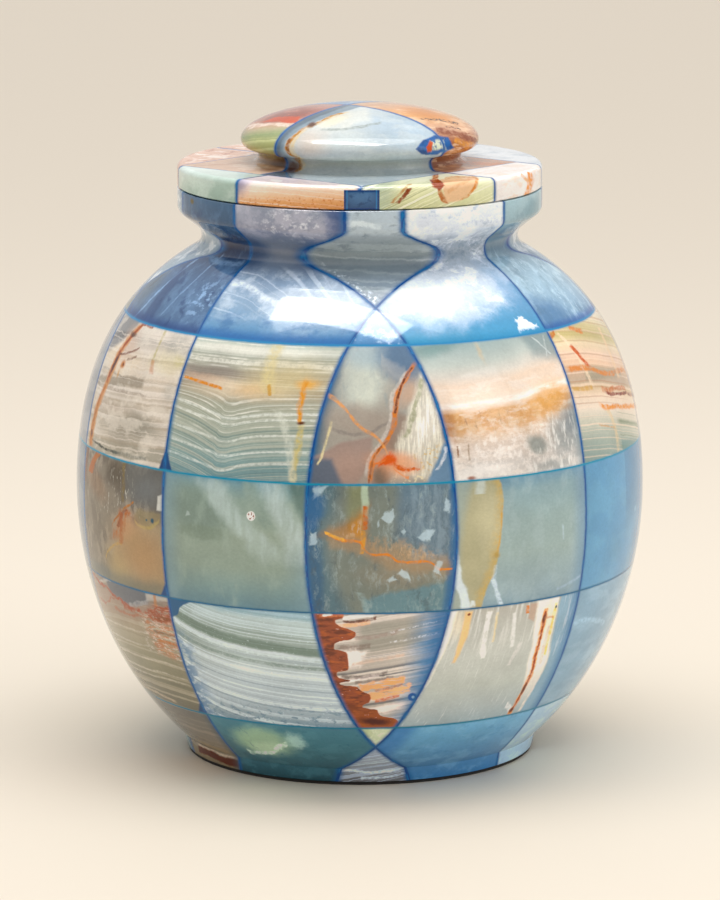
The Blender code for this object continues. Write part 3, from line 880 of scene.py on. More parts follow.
@stone("front", "#a9a79b", (1.12, 1.06, 1.08))
def upper_front(s):
    s.lay("#b5c3ba", s.blob((1, 150), (7.5, 14), turn=-14, soft=0.7, warp=2.4) * 0.9)
    s.lay("#8fa3a6", s.cloud((2, 5, 8), 0.5, 0.66, turn=-16, detail=5, seed=12, warp=1.5)
          * s.smooth(s.z, 136, 142) * 0.4)
    s.lay("#cbd3c2", s.blob((1.5, 146), (4.5, 7), turn=-10, soft=0.8) * 0.6)
    s.lay("#9fb7bd", s.blob((4, 157.5), (9, 4), soft=0.6) * 0.8)
    s.lay("#5d83a6", s.blob((14.5, 156.5), (8, 7), turn=-35, soft=0.6) * 0.95)
    s.lay("#b5b9b3", s.vein([(7, 156), (12, 152), (16, 151)], 2, 2.4) * 0.4)
    s.lay("#577a90", s.beyond([(-2.5, 163), (-7, 150), (-10, 140), (-13, 126), (-12, 114)],
                              2.2, 1.0).flip() * 0.9)
    s.lay("#a3b4b8", s.vein([(-5, 153), (-2, 157), (0, 160)], 0.25, 0.5) * 0.8)
    s.lay("#aba294", s.blob((0, 136), (11, 5.5), turn=-8, soft=0.5) * 0.85)
    s.lay("#a9958a", s.patch([(-16, 124), (-5.5, 129.2), (5, 131), (8, 129), (3.4, 122), (2.4, 113),
                              (-18, 113)], 0.8, 0.6) * 0.9)
    s.lay("#b79c8c", s.blob((-3, 121), (7, 5), soft=0.8) * 0.7)
    s.lay("#66798d", s.patch([(-19, 113), (-5, 113), (-9.6, 123.4), (-19, 123.8)], 1.2, 0.3) * 0.9)
    s.lay("#8f8a84", s.vein([(-10, 133.6), (-4, 132), (2, 132), (7, 134), (11, 136)], 0.4, 0.7)
          * 0.6)
    s.lay("#d8d0a0", s.vein([(-9.6, 136), (-11.6, 129), (-14.4, 121)], 0.25, 0.6) * 0.9)
    s.lay("#b39a88", s.patch([(3, 114), (13, 114), (20, 150), (13.5, 148), (12, 135), (5, 125)],
                             1.2, 0.8))
    s.lay("#9c8674", s.patch([(8, 127), (13, 125), (17, 137), (13, 139)], 1.4, 0.8) * 0.7)
    s.lay("#caa98c", s.blob((16.4, 145), (3, 4), turn=-25, soft=0.8) * 0.7)
    rays = s.cloud((0.9, 9, 8), 0.42, 0.6, turn=38, detail=4, rough=0.6, seed=2)
    s.lay("#d9dac8", s.patch([(12.5, 128), (12, 118), (24, 116), (29, 127), (24, 147), (21, 151)],
                             1.3, 1.6) * (rays * 0.5 + 0.5))
    s.lay("#eeeee2", s.blob((23, 135), (3.6, 9), turn=-22, soft=0.8) * (rays * 0.6 + 0.3))
    s.lay("#9fa582", s.vein([(21.6, 150), (19.6, 143), (17.4, 136), (15, 130)], 0.8, 0.9,
                            warp=1.4) * 0.8)
    s.lay("#dfb391", s.blob((14.6, 122), (5.4, 3.4), turn=-12, soft=0.6) * 0.8)
    s.lay("#d9b44a", s.cloud((1.4, 3, 1.2), 0.54, 0.66, detail=3, seed=6)
          * s.blob((24, 123), (5, 4), soft=0.8) * 0.8)
    s.lay("#dad3b0", s.cloud((2, 3, 1.6), 0.5, 0.6, detail=4, seed=5)
          * s.blob((17, 116.4), (6, 2.2), soft=0.5) * 0.9)
    s.lay("#8a7a68", s.blob((7, 117.6), (2.6, 3.6), soft=0.6) * 0.9)
    s.lay("#6f9abc", s.patch([(22, 113), (33, 113), (31, 127), (28.6, 128)], 0.7, 0.7) * 0.95)
    s.lay("#dbe4ea", s.vein([(26, 119), (28.4, 123), (29.4, 127)], 0.5, 0.8, warp=1.4) * 0.8)
    s.lay("#c9c5bb", s.vein([(17.4, 153), (13, 147.5), (10.9, 143), (10.9, 138), (7, 129),
                             (3.6, 124), (2, 117)], 0.7, 0.7, warp=0.6) * 0.8)
    s.lay("#e08424", s.vein([(19.4, 155.5), (15.6, 149.4), (13, 145), (12.2, 140), (11.4, 134),
                             (8.6, 129), (4.8, 124), (3.2, 115)], 0.9, 0.8, warp=0.6))
    s.lay("#8a3f10", s.vein([(18.4, 153.5), (14, 147), (12.6, 142), (12, 138)], 0.35, 0.4,
                            warp=0.6))
    s.lay("#9a5220", s.vein([(9.6, 130), (6, 126), (3.9, 121), (3, 115)], 0.3, 0.4, warp=0.6) * 0.8)
    s.lay("#e8a054", s.vein([(-11.5, 144.8), (-6, 141), (0, 134.3), (6, 130.3), (10, 124)],
                            0.55, 0.8, warp=0.5) * 0.9)
    s.lay("#e9a06a", s.blob((11, 121.6), (7, 3.4), turn=-16, soft=0.8, warp=2) * 0.6)
    s.lay("#ea6410", s.patch([(6.4, 120.4), (9, 124.6), (10.4, 125.4), (12, 122), (9.2, 121)],
                             0.8, 2.4))
    s.lay("#e26c1a", s.vein([(10.6, 122), (13, 120.8), (16, 119.9), (20.5, 119.8)], 0.3, 0.6,
                            warp=2.0))
    s.lay("#e8823a", s.vein([(4.6, 121.4), (7.4, 122.4), (9.6, 123.6)], 0.3, 0.5, warp=1.6))
    s.lay("#e9924e", s.vein([(11, 121.4), (14, 118.4), (17, 117)], 0.2, 0.5, warp=2.0) * 0.8)


@stone("right", "#e0d2c3", (0.94, 0.95, 0.95))
def upper_front_right(s):
    rise = s.z - s.curve(s.moved_parts(1.5)[0], [(-54, -1.4), (-40, -1), (-24, 0), (-12, 1.8),
                                                 (0, 2.4)])
    s.ramp_on(rise, (112, "#d9d6d3"), (121, "#cfc6bf"), (128, "#dac6b6"), (133, "#e6c198"),
              (138.4, "#eebc84"), (140.6, "#f6e4d6"), (143.4, "#f1dac6"), (147.4, "#ead2bd"),
              (150.4, "#dad3c9"), (154, "#c3cbc5"), (160, "#a3b9ba"))
    s.lay("#f1e4da", s.cloud((9, 9, 2), 0.46, 0.64, detail=5, rough=0.6, turn=-6, warp=1.5)
          * s.smooth(rise, 151, 146) * 0.55)
    s.lay("#f3ebe5", s.cloud((3, 4, 3.4), 0.44, 0.62, detail=6, rough=0.7, seed=9, warp=1)
          * s.smooth(rise, 136, 128) * 0.6)
    fringe = s.smooth(rise, 129, 135) * s.smooth(rise, 139.4, 138)
    s.lay("#e3a25a", fringe * s.cloud((3.4, 4, 2.2), 0.42, 0.62, detail=5, rough=0.65, seed=3)
          * 0.75)
    s.lay("#f0b055", s.blob((-11, 140), (8, 4), turn=14, soft=0.8, warp=2) * 0.6)
    s.lay("#c08a5c", s.cloud((1.2, 4, 5), 0.58, 0.7, detail=4, seed=5) * fringe
          * s.smooth(s.a, -16, -44) * 0.7)
    s.lay("#fbf4ee", s.smooth(abs(rise - 141.1), 1.5, 0.2)
          * s.cloud((6, 6, 1.4), 0.3, 0.6, detail=5, seed=15) * 0.8)
    s.lay("#b9794f", s.blob((-51.4, 134), (1.6, 5), soft=0.8) * 0.6)
    s.lay("#8b9693", s.blob((-21.6, 124.4), (4.2, 3.2), turn=-20, soft=0.5, warp=1.8) * 0.75)
    s.lay("#98a3a7", s.blob((-8, 126), (7, 6.5), soft=0.7, warp=2.4) * 0.7)
    s.lay("#8494a0", s.blob((-4, 131), (4, 4), soft=0.8) * 0.6)
    s.lay("#949d9f", s.blob((-15, 117), (7, 1.8), soft=0.7, warp=2) * 0.6)
    s.lay("#eceae6", s.cloud((1.4, 4, 5), 0.5, 0.66, turn=28, detail=5, seed=8)
          * s.patch([(-28, 114), (1, 114), (1, 134), (-14, 133)], 2.5, 1.5) * 0.7)
    s.lay("#f0ebe7", s.blob((-44, 117.4), (10, 2.6), soft=0.7) * 0.7)
    s.lay("#b0603c", s.blob((-47.6, 115.6), (1.2, 0.7), soft=0.6, warp=0.5) * 0.8)
    s.lay("#a2724e", s.vein([(-50.5, 127), (-51.2, 123)], 0.2, 0.3) * 0.8)
    s.lay("#a88a6e", s.vein([(-46.8, 127.5), (-47.6, 122)], 0.2, 0.4) * 0.6)
    s.lay("#7b939b", s.patch([(-12, 153), (1, 150), (1, 161), (-15, 161)], 2.4, 1.6) * 0.6)
    s.lay("#d9e1e2", s.vein([(-9, 159), (-4.6, 154), (-3.6, 152.4)], 0.25, 0.6) * 0.6)
    s.lay("#d6dcdc", s.vein([(-3, 159), (-6, 152)], 0.25, 0.5) * 0.5)
    s.lay("#8aa0ac", s.smooth(s.a, -6, -0.5) * s.smooth(s.z, 143, 133) * 0.7)
    s.lay("#e3c391", s.blob((-32.3, 156.6), (0.8, 3), soft=0.9) * 0.45)
    s.lay("#5f9494", s.blob((-46, 158.6), (8, 1.8), turn=14, soft=0.9) * 0.5)


@stone("right", "#dccfc0", (1.01, 0.89, 0.81))
def upper_right_front(s):
    height = s.z + s.curve(s.a, [(0, 0), (15, 1.5), (30, 4.5), (50, 9.5), (85, 20)])
    s.ramp_on(height, (115, "#8fb2b8"), (122, "#a3bcba"), (129, "#c3cfc6"), (134, "#e2dfd6"),
              (138, "#e8dccb"), (141, "#d9c9a5"), (143, "#c4b8a6"), (146, "#d0bba6"),
              (149, "#e4c9ae"), (152, "#e6d3c2"), (156, "#ded7b4"), (158.5, "#c6c083"),
              (162, "#cfcb9c"), (168, "#dfe0d6"))
    streak = s.band(1.5, 0.5, 0.68, height=height, detail=4, rough=0.6, warp=0.3)
    s.lay("#efe2d3", streak * 0.55)
    s.lay("#c9a487", s.band(1.1, 0.58, 0.7, height=height, detail=3, warp=0.3, seed=4)
          * s.smooth(s.z, 128, 136) * 0.5)
    s.lay("#7f9c83", s.band(2.2, 0.48, 0.64, height=height, detail=3, warp=0.4, seed=6)
          * s.patch([(27, 113), (56, 112), (50, 124), (28, 130)], 2, 1) * 0.7)
    s.lay("#6fa3ab", s.patch([(28, 112), (52, 112), (45, 116), (28, 119)], 1.0, 0.6) * 0.8)
    s.lay("#9aa38f", s.patch([(11, 142), (42, 138.5), (42, 141), (12, 147)], 0.9, 0.6) * 0.5)
    s.lay("#d4872f", s.vein([(0, 158), (4, 159)], 1.0, 0.7))
    s.lay("#e88a28", s.vein([(13, 159.6), (17, 158), (22, 156.8)], 0.9, 0.8, warp=0.8) * 0.9)
    s.lay("#ece0c9", s.vein([(4, 159), (9, 153.5), (12.5, 145), (14, 139)], 1.0, 1.0) * 0.8)
    s.lay("#e26a1c", s.vein([(9, 154), (12, 150), (14.6, 147), (16.5, 145.5)], 1.4, 1.0, warp=1.2))
    s.lay("#e8922c", s.vein([(1, 147), (8, 146.4), (16, 145.2), (22, 143), (30, 141.4),
                             (41, 140.6), (52, 138)], 0.8, 0.8, warp=0.7) * 0.9)
    s.lay("#d9b25a", s.vein([(1, 140.5), (8, 139.8), (14, 139)], 0.6, 0.8) * 0.8)
    s.lay("#a43c08", s.vein([(20, 137), (26, 135.2), (33, 134), (42, 132.3), (50, 130.4),
                             (62, 127.4), (80, 124)], 0.55, 0.5, warp=0.8))
    s.lay("#d87a28", s.vein([(19, 137.8), (26, 136.6), (31, 136.2), (37, 135.4), (43, 133)],
                            0.7, 0.8, warp=1.2) * 0.8)
    s.lay("#f0a038", s.vein([(14, 134.4), (18, 132), (30, 130), (40, 128.3), (52, 126),
                             (75, 120)], 0.7, 0.9, warp=0.7))
    s.lay("#eed6b0", s.vein([(37.5, 156), (37.2, 148), (38.4, 138)], 1.0, 1.5) * 0.7)
    s.lay("#e0d2ac", s.vein([(20, 131), (23, 126), (24.5, 120), (24, 115)], 1.0, 1.2) * 0.7)
    s.lay("#d9a866", s.vein([(12, 126.6), (19, 125), (24, 123.6)], 0.3, 0.5) * 0.6)


@stone("left", "#9aa3b0")
def upper_left(s):
    s.lay("#adb2ba", s.band(7, 0.42, 0.6, turn=10, detail=4, warp=1.5) * 0.6)


# Middle course

@stone("left", "#a39b90", (0.74, 0.72, 0.66))
def middle_left_front(s):
    s.lay("#8a8077", s.cloud((7, 9, 10), 0.42, 0.58, turn=-30, detail=5, warp=2) * 0.85)
    s.lay("#bdb4a9", s.cloud((4, 8, 9), 0.5, 0.62, turn=-32, detail=5, seed=4, warp=3) * 0.85)
    s.lay("#a59a86", s.blob((-40, 88), (12, 14), soft=0.8, warp=3) * 0.4)
    s.lay("#6f6250", s.blob((-27, 110), (5.5, 5), soft=0.7) * 0.8)
    s.lay("#7f878f", s.patch([(-21, 103), (1, 99), (1, 116), (-20, 116)], 3.0, 2.4) * 0.75)
    s.lay("#8e99a6", s.blob((-8, 107), (7, 3.6), turn=12, soft=0.8) * 0.5)
    s.lay("#b08a68", s.blob((-42, 104), (9, 4), turn=-20, soft=0.7) * 0.6)
    s.lay("#dc7a22", s.vein([(-46.6, 106), (-44.4, 110), (-39, 115.6)], 2.4, 1.6, warp=1.2))
    s.lay("#d98a2e", s.vein([(-43.4, 110.5), (-38.6, 116)], 0.9, 1.0, warp=1.2) * 0.8)
    s.lay("#a3583a", s.vein([(-52.4, 102), (-51.4, 109), (-50.4, 116)], 1.3, 1.0) * 0.9)
    s.lay("#cdb897", s.patch([(-34, 69), (1, 69), (1, 97), (-12, 95), (-21, 91), (-28, 84.5)],
                             2.0, 1.6) * 0.85)
    s.lay("#c8a68e", s.blob((-10, 83), (9, 8), turn=20, soft=0.8) * 0.6)
    s.lay("#d3ba86", s.blob((-28, 77), (7, 6), soft=0.8) * 0.7)
    s.lay("#a2998f", s.blob((-12, 71.6), (16, 2.4), soft=0.7) * 0.7)
    s.lay("#dcb866", s.vein([(-35.5, 77.5), (-31, 82.5), (-26, 84.8), (-22, 85.6)],
                            0.35, 0.7) * 0.9)
    s.lay("#b3a57e", s.patch([(-15, 97), (-8, 93.4), (1, 97), (1, 99.6), (-13, 100)],
                             0.8, 1.4) * 0.7)
    s.lay("#dcc878", s.vein([(-15, 96.6), (-10, 93.8), (-5, 94.8), (-1, 98)], 0.3, 0.9) * 0.6)
    s.lay("#1d6f94", s.blob((-5, 96.6), (0.8, 0.8), soft=0.5, warp=0.4))
    s.lay("#2d7f9e", s.blob((-8, 96.5), (0.45, 0.4), soft=0.6, warp=0.4) * 0.9)
    s.lay("#a38d4f", s.vein([(-21.8, 116), (-21.4, 108), (-21.6, 100)], 0.7, 1.1) * 0.8)
    s.lay("#e0b08c", s.blob((-20, 92), (6, 4), turn=32, soft=0.8, warp=1.4) * 0.8)
    s.lay("#d9741c", s.patch([(-28.5, 87.4), (-23.5, 86.5), (-20.6, 91), (-15, 95.4), (-17, 98),
                              (-23, 97)], 1.6, 2.6)
          * s.cloud((1.6, 3, 4), 0.36, 0.58, turn=-28, detail=5, rough=0.65, seed=12, warp=1.5))
    s.lay("#b0440c", s.vein([(-25, 91), (-22.8, 94.4), (-21.6, 96.6), (-19, 98)], 0.9, 0.8,
                            warp=1.2))
    s.lay("#d98a2c", s.vein([(-22.4, 97), (-18.8, 99.4), (-15, 102)], 0.4, 0.5, warp=1.2))
    s.lay("#cf7a20", s.vein([(-29, 90.5), (-26.5, 93.5), (-22.6, 96.4)], 0.45, 0.5, warp=1.2))
    s.lay("#d46a20", s.vein([(-24, 85), (-22.6, 91), (-22.8, 97)], 1.2, 1.0, warp=1.4) * 0.8)
    s.lay("#e3e7ea", s.patch([(-2.8, 100.5), (-0.2, 100.5), (-0.2, 106.5), (-2.4, 105.5)],
                             0.4, 0.6))
    s.lay("#8d9298", s.blob((-44, 72), (12, 2.4), soft=0.7) * 0.7)
    s.lay("#d3d3d0", s.cloud((0.8, 3, 2.6), 0.58, 0.68, turn=-35, detail=4, seed=9)
          * s.patch([(-38, 94), (-12, 98), (-20, 116), (-26, 116)], 2.5, 2))
    s.lay("#dcab64", s.blob((-13, 84), (14, 9), turn=-15, soft=0.8, warp=2) * 0.5)
    s.lay("#8d9a8c", s.smooth(s.z, 78, 70) * 0.5)
    s.resin("#0c4884", s.patch([(-4.4, 69), (1, 69), (1, 75), (-0.8, 74.6)], 0.5, 0.5))


@stone("left", "#a3ae9b", (0.99, 1.07, 1.17))
def middle_front_left(s):
    s.grade((70, "#7399a3"), (76, "#88a39f"), (84, "#9cab99"), (96, "#a0ac97"),
            (108, "#9bae9f"), (113, "#8aa9ab"), (115, "#6f9fad"))
    s.lay("#87998a", s.blob((15, 103), (13, 8.5), turn=-14, soft=0.55, warp=2) * 0.85)
    s.lay("#8a9a84", s.blob((17, 95.6), (9, 2.6), soft=0.3, warp=1.2) * 0.6)
    rays = s.cloud((3, 8, 22), 0.38, 0.62, detail=4, turn=-28, seed=4, warp=1.5)
    s.lay("#c3d0c8", s.vein([(16, 119), (22, 110), (30, 101), (39, 93), (45, 84)], 4, 6,
                            warp=2, fade=0.2, uneven=0.3) * (rays * 0.3 + 0.38))
    s.lay("#cbd6d0", s.vein([(38, 119), (44, 108), (49, 97), (52, 84)], 3, 4.5, warp=1.5,
                            fade=0.12, uneven=0.3) * (rays * 0.3 + 0.34))
    s.lay("#8fa394", s.vein([(33, 117), (37, 107), (43, 97)], 1.4, 2.6, fade=0.2) * 0.6)
    s.lay("#718c80", s.patch([(46, 116), (54, 116), (54, 97), (52, 102)], 1.4, 0.8) * 0.85)
    s.lay("#aebdab", s.cloud((6, 10, 14), 0.5, 0.7, turn=-20, detail=3, seed=6) * 0.35)
    s.lay("#c5cfc8", s.patch([(10.4, 100.6), (12.4, 101), (12, 102), (11, 102.4)], 0.3, 0.4) * 0.5)
    s.lay("#86a2a8", s.smooth(s.a, 10, 0) * 0.8)
    s.lay("#4f82a0", s.smooth(s.a, 2.4, 0) * 0.7)
    s.lay("#87a5ad", s.smooth(s.a, 44, 54) * s.smooth(s.z, 100, 80) * 0.6)
    s.lay("#f3ece2", s.blob((35.6, 102.9), (1.45, 1.6), soft=0.16, warp=0.4))
    s.lay("#a8583a", s.blob((35.6, 102.9), (1.1, 1.2), soft=0.3, warp=0.3)
          * s.cloud(0.9, 0.5, 0.55, detail=1, seed=6))


@stone("front", "#85887d", (1.1, 1.24, 1.31))
def middle_front(s):
    s.lay("#5f7f8c", s.beyond([(-3, 69), (-8, 80), (-11, 90), (-12, 98), (-9, 106),
                               (-8, 116)], 3.6, 1.4).flip() * 0.9)
    s.lay("#3f6f93", s.beyond([(-12, 69), (-13, 90), (-14, 98), (-12.6, 116)], 1.6, 1.0).flip()
          * 0.9)
    s.lay("#6f8494", s.patch([(12, 96), (34, 86), (34, 117), (13, 117)], 3.0, 1.6) * 0.9)
    s.lay("#8a99a4", s.cloud((2.4, 5, 9), 0.46, 0.62, turn=-12, detail=5, seed=14, warp=1.5)
          * s.patch([(16, 88), (33, 86), (33, 116), (18, 116)], 2, 1) * 0.8)
    s.lay("#9a8a74", s.blob((14, 84), (12, 5), soft=0.7, warp=2) * 0.8)
    s.lay("#6d9099", s.patch([(1, 69), (33, 69), (33, 81), (27, 80), (1, 77)], 1.0, 2.2) * 0.9)
    s.lay("#9fb0ae", s.vein([(0, 78), (1.4, 73), (2.4, 69)], 0.8, 1.4, warp=1.5) * 0.6)
    s.lay("#2f74a6", s.beyond([(28, 69), (30, 85), (31, 100), (30.6, 116)], 1.2, 0.6) * 0.9)
    s.lay("#a9b1ad", s.cloud((2.0, 5, 6), 0.5, 0.68, turn=-8, detail=6, rough=0.7, seed=3,
                             warp=2) * 0.5)
    s.lay("#55646c", s.cloud((3.4, 5, 7), 0.52, 0.7, turn=-10, detail=6, rough=0.7, seed=5,
                             warp=2) * 0.5)
    s.lay("#9a9660", s.patch([(-4.4, 99), (1.4, 98), (2, 116), (-4, 116)], 2.2, 1.0) * 0.6)
    s.lay("#b9c2a6", s.patch([(0.6, 105), (2.8, 104), (3, 116), (0.6, 116)], 0.5, 0.8) * 0.9)
    s.lay("#b5741f", s.patch([(-12.4, 97.6), (0.5, 95.6), (1.8, 98), (1.8, 107), (-4, 103)],
                             2.6, 2.0) * 0.75)
    s.lay("#d98a1e", s.patch([(-4.5, 97), (1.4, 96), (2, 106), (-2, 103)], 1.8, 1.6) * 0.7)
    s.lay("#c9a586", s.cloud((0.9, 3, 2.4), 0.5, 0.62, detail=4, seed=7)
          * s.patch([(-8, 96.6), (0.5, 95.6), (1, 103.5), (-3, 101)], 1.2, 0.8) * 0.8)
    s.lay("#c99c72", s.cloud((1.4, 3, 2), 0.42, 0.6, detail=4, seed=8)
          * s.patch([(1, 91.5), (12, 89.4), (24, 88), (27, 92), (12, 96), (4, 97)], 2.0, 2.4) * 0.5)
    s.lay("#d9b292", s.cloud((0.9, 3, 1.6), 0.5, 0.6, turn=25, detail=4, seed=10)
          * s.patch([(3, 91), (12, 89.4), (24, 88), (26, 91), (12, 94)], 1.4, 2.0) * 0.5)
    s.lay("#c08f5c", s.vein([(-12, 97), (0, 94), (8, 90.5), (20, 88), (32, 85.5)], 2.5, 4,
                            warp=1.5) * 0.5)
    s.lay("#d86b10", s.vein([(1.7, 108), (2.0, 104), (1.4, 99.5)], 0.8, 0.7, warp=0.5))
    s.lay("#e0942a", s.vein([(1.2, 99.5), (1.2, 96), (0.6, 91)], 0.8, 0.7, warp=0.5))
    s.lay("#ea8218", s.vein([(-12, 98.6), (-10, 97.4), (-7, 96), (-3, 95.6), (0, 95.2),
                             (1.4, 93), (4, 91.1), (9.6, 90.9), (13, 88.4), (19, 88.1),
                             (23.6, 87.8), (27.4, 85), (32, 84.9)], 0.45, 0.5, warp=0.9, fade=0.02))
    s.lay("#eda53a", s.vein([(-12, 98.4), (-8, 96.8), (-5, 95.9)], 0.5, 0.6, warp=1.2))
    crystals = (((7.2, 103.4), (8.4, 105.8), (10.8, 106.6), (11.6, 104.4), (9.8, 101.6)),
                ((20.2, 96.6), (22.4, 99.6), (25.2, 98.8), (23.8, 95.6), (21.4, 95.6)),
                ((5.8, 102.4), (6.4, 102.8), (7.2, 100.4), (6.6, 100)),
                ((14.2, 99), (15.2, 99.8), (16, 98.6), (15, 97.6)),
                ((12.6, 84), (13.8, 86), (16, 83.6), (17, 80.8), (15.4, 81.6)),
                ((9.4, 82), (11.4, 83.4), (12.4, 81.4), (10, 81)),
                ((-17, 93.6), (-16.6, 97.6), (-14, 98.4), (-15, 94)),
                ((-16, 109.4), (-15, 114), (-10, 115), (-13.6, 111)),
                ((28.6, 106), (29.4, 110), (31, 109), (30.4, 104.6)),
                ((25, 84), (26, 88.4), (27.6, 88), (27, 83)))
    for corners in crystals:
        s.lay("#c6d2d8", s.patch(list(corners), 0.45, 2.2) * 0.6)
    s.resin("#1668a6", s.patch([(-18, 99), (-15.6, 99), (-12.6, 104), (-11.8, 111), (-18, 112)],
                               1.6, 1.4) * 0.6)
    s.resin("#1668a6", s.patch([(-18, 113), (-14, 114), (-12, 117), (-18, 117)], 1.0, 0.8) * 0.6)


@stone("right", "#a8b3a2", (0.91, 1.06, 1.32))
def middle_front_right(s):
    s.grade((69, "#8fa5a6"), (74, "#a3b2ac"), (88, "#abb6a4"), (100, "#a6b4a4"),
            (110, "#9bb0a8"), (115, "#7fa3ad"))
    s.lay("#b9c3b4", s.cloud((6, 8, 10), 0.46, 0.64, detail=3, seed=2) * 0.3)
    tongue = s.beyond([(-43, 68), (-42.2, 76), (-39.6, 84), (-38.8, 92), (-38, 100),
                       (-37.2, 108), (-38.6, 116)], 0.5, 0.7).flip()
    left = s.beyond([(-47, 68), (-50, 76), (-53, 88), (-52, 100), (-47, 116)], 3.0, 0.8)
    s.lay("#c6b27c", tongue * left * 0.9)
    s.lay("#e0ae4c", s.vein([(-43, 68), (-42.2, 76), (-39.6, 84), (-38.8, 92), (-38, 100),
                             (-37.2, 108), (-38.6, 116)], 0.8, 4.0, fade=0.02) * tongue * 0.7)
    s.lay("#b9b594", tongue * left.flip() * 0.7)
    s.lay("#d8c492", s.blob((-42, 101), (4, 9), soft=0.8) * tongue * 0.5)
    s.lay("#eca01c", s.vein([(-38.9, 89), (-38.6, 92), (-37.6, 102), (-37, 106)], 0.45, 0.8,
                            warp=0.7) * tongue * 0.9)
    s.lay("#c99a3a", s.blob((-39.6, 88.3), (1.0, 1.2), soft=0.7, warp=0.7) * 0.7)
    s.lay("#d9d9c6", s.vein([(-44.5, 116), (-45.5, 110)], 1.6, 1.8) * 0.6)
    s.lay("#e1e0d3", s.vein([(-54, 92), (-52.4, 82), (-49.6, 75), (-47.6, 69)], 1.8, 1.2,
                            fade=0.03) * 0.9)
    s.lay("#e6e2d2", s.vein([(-46.5, 73), (-45.4, 69)], 0.7, 0.8) * 0.8)
    s.lay("#dfe2dd", s.vein([(-40.6, 80), (-38.2, 75), (-35.5, 69.5)], 0.7, 0.9) * 0.8)
    s.lay("#dfe4e0", s.vein([(-39.6, 85), (-40.4, 79)], 0.4, 0.9) * 0.5)
    s.lay("#cfd8d3", s.vein([(-12.5, 96), (-11.4, 90)], 0.25, 0.7) * 0.4)
    s.lay("#87a5b0", s.smooth(s.a, -9, 0) * 0.85)
    s.lay("#b3c3c7", s.vein([(-13, 72.5), (-6, 74), (0, 76)], 0.4, 0.8) * 0.6)


@stone("right", "#88abc5", (0.53, 0.95, 1.19))
def middle_right_front(s):
    s.lay("#92b2c6", s.cloud((12, 14, 9), 0.42, 0.62, turn=20, detail=3) * 0.7)
    s.lay("#7a9cb9", s.beyond([(29, 69), (29, 92), (29, 116)], 0.5, 0.3)
          * s.smooth(s.z, 84, 100) * 0.65)
    s.lay("#a5bccd", s.cloud((2, 5, 8), 0.6, 0.72, turn=15, detail=4, seed=3) * 0.3)
    s.lay("#c6d5df", s.blob((40, 92), (1.2, 1.0), soft=0.8) * 0.4)
    s.lay("#7f93ad", s.beyond([(36, 69), (42, 92), (44, 116)], 6, 1.0) * 0.4)


@stone("left", "#7f93a8")
def middle_left(s):
    s.lay("#93a2b0", s.band(8, 0.42, 0.6, turn=-15, detail=4, warp=1.5) * 0.6)


# Lower course

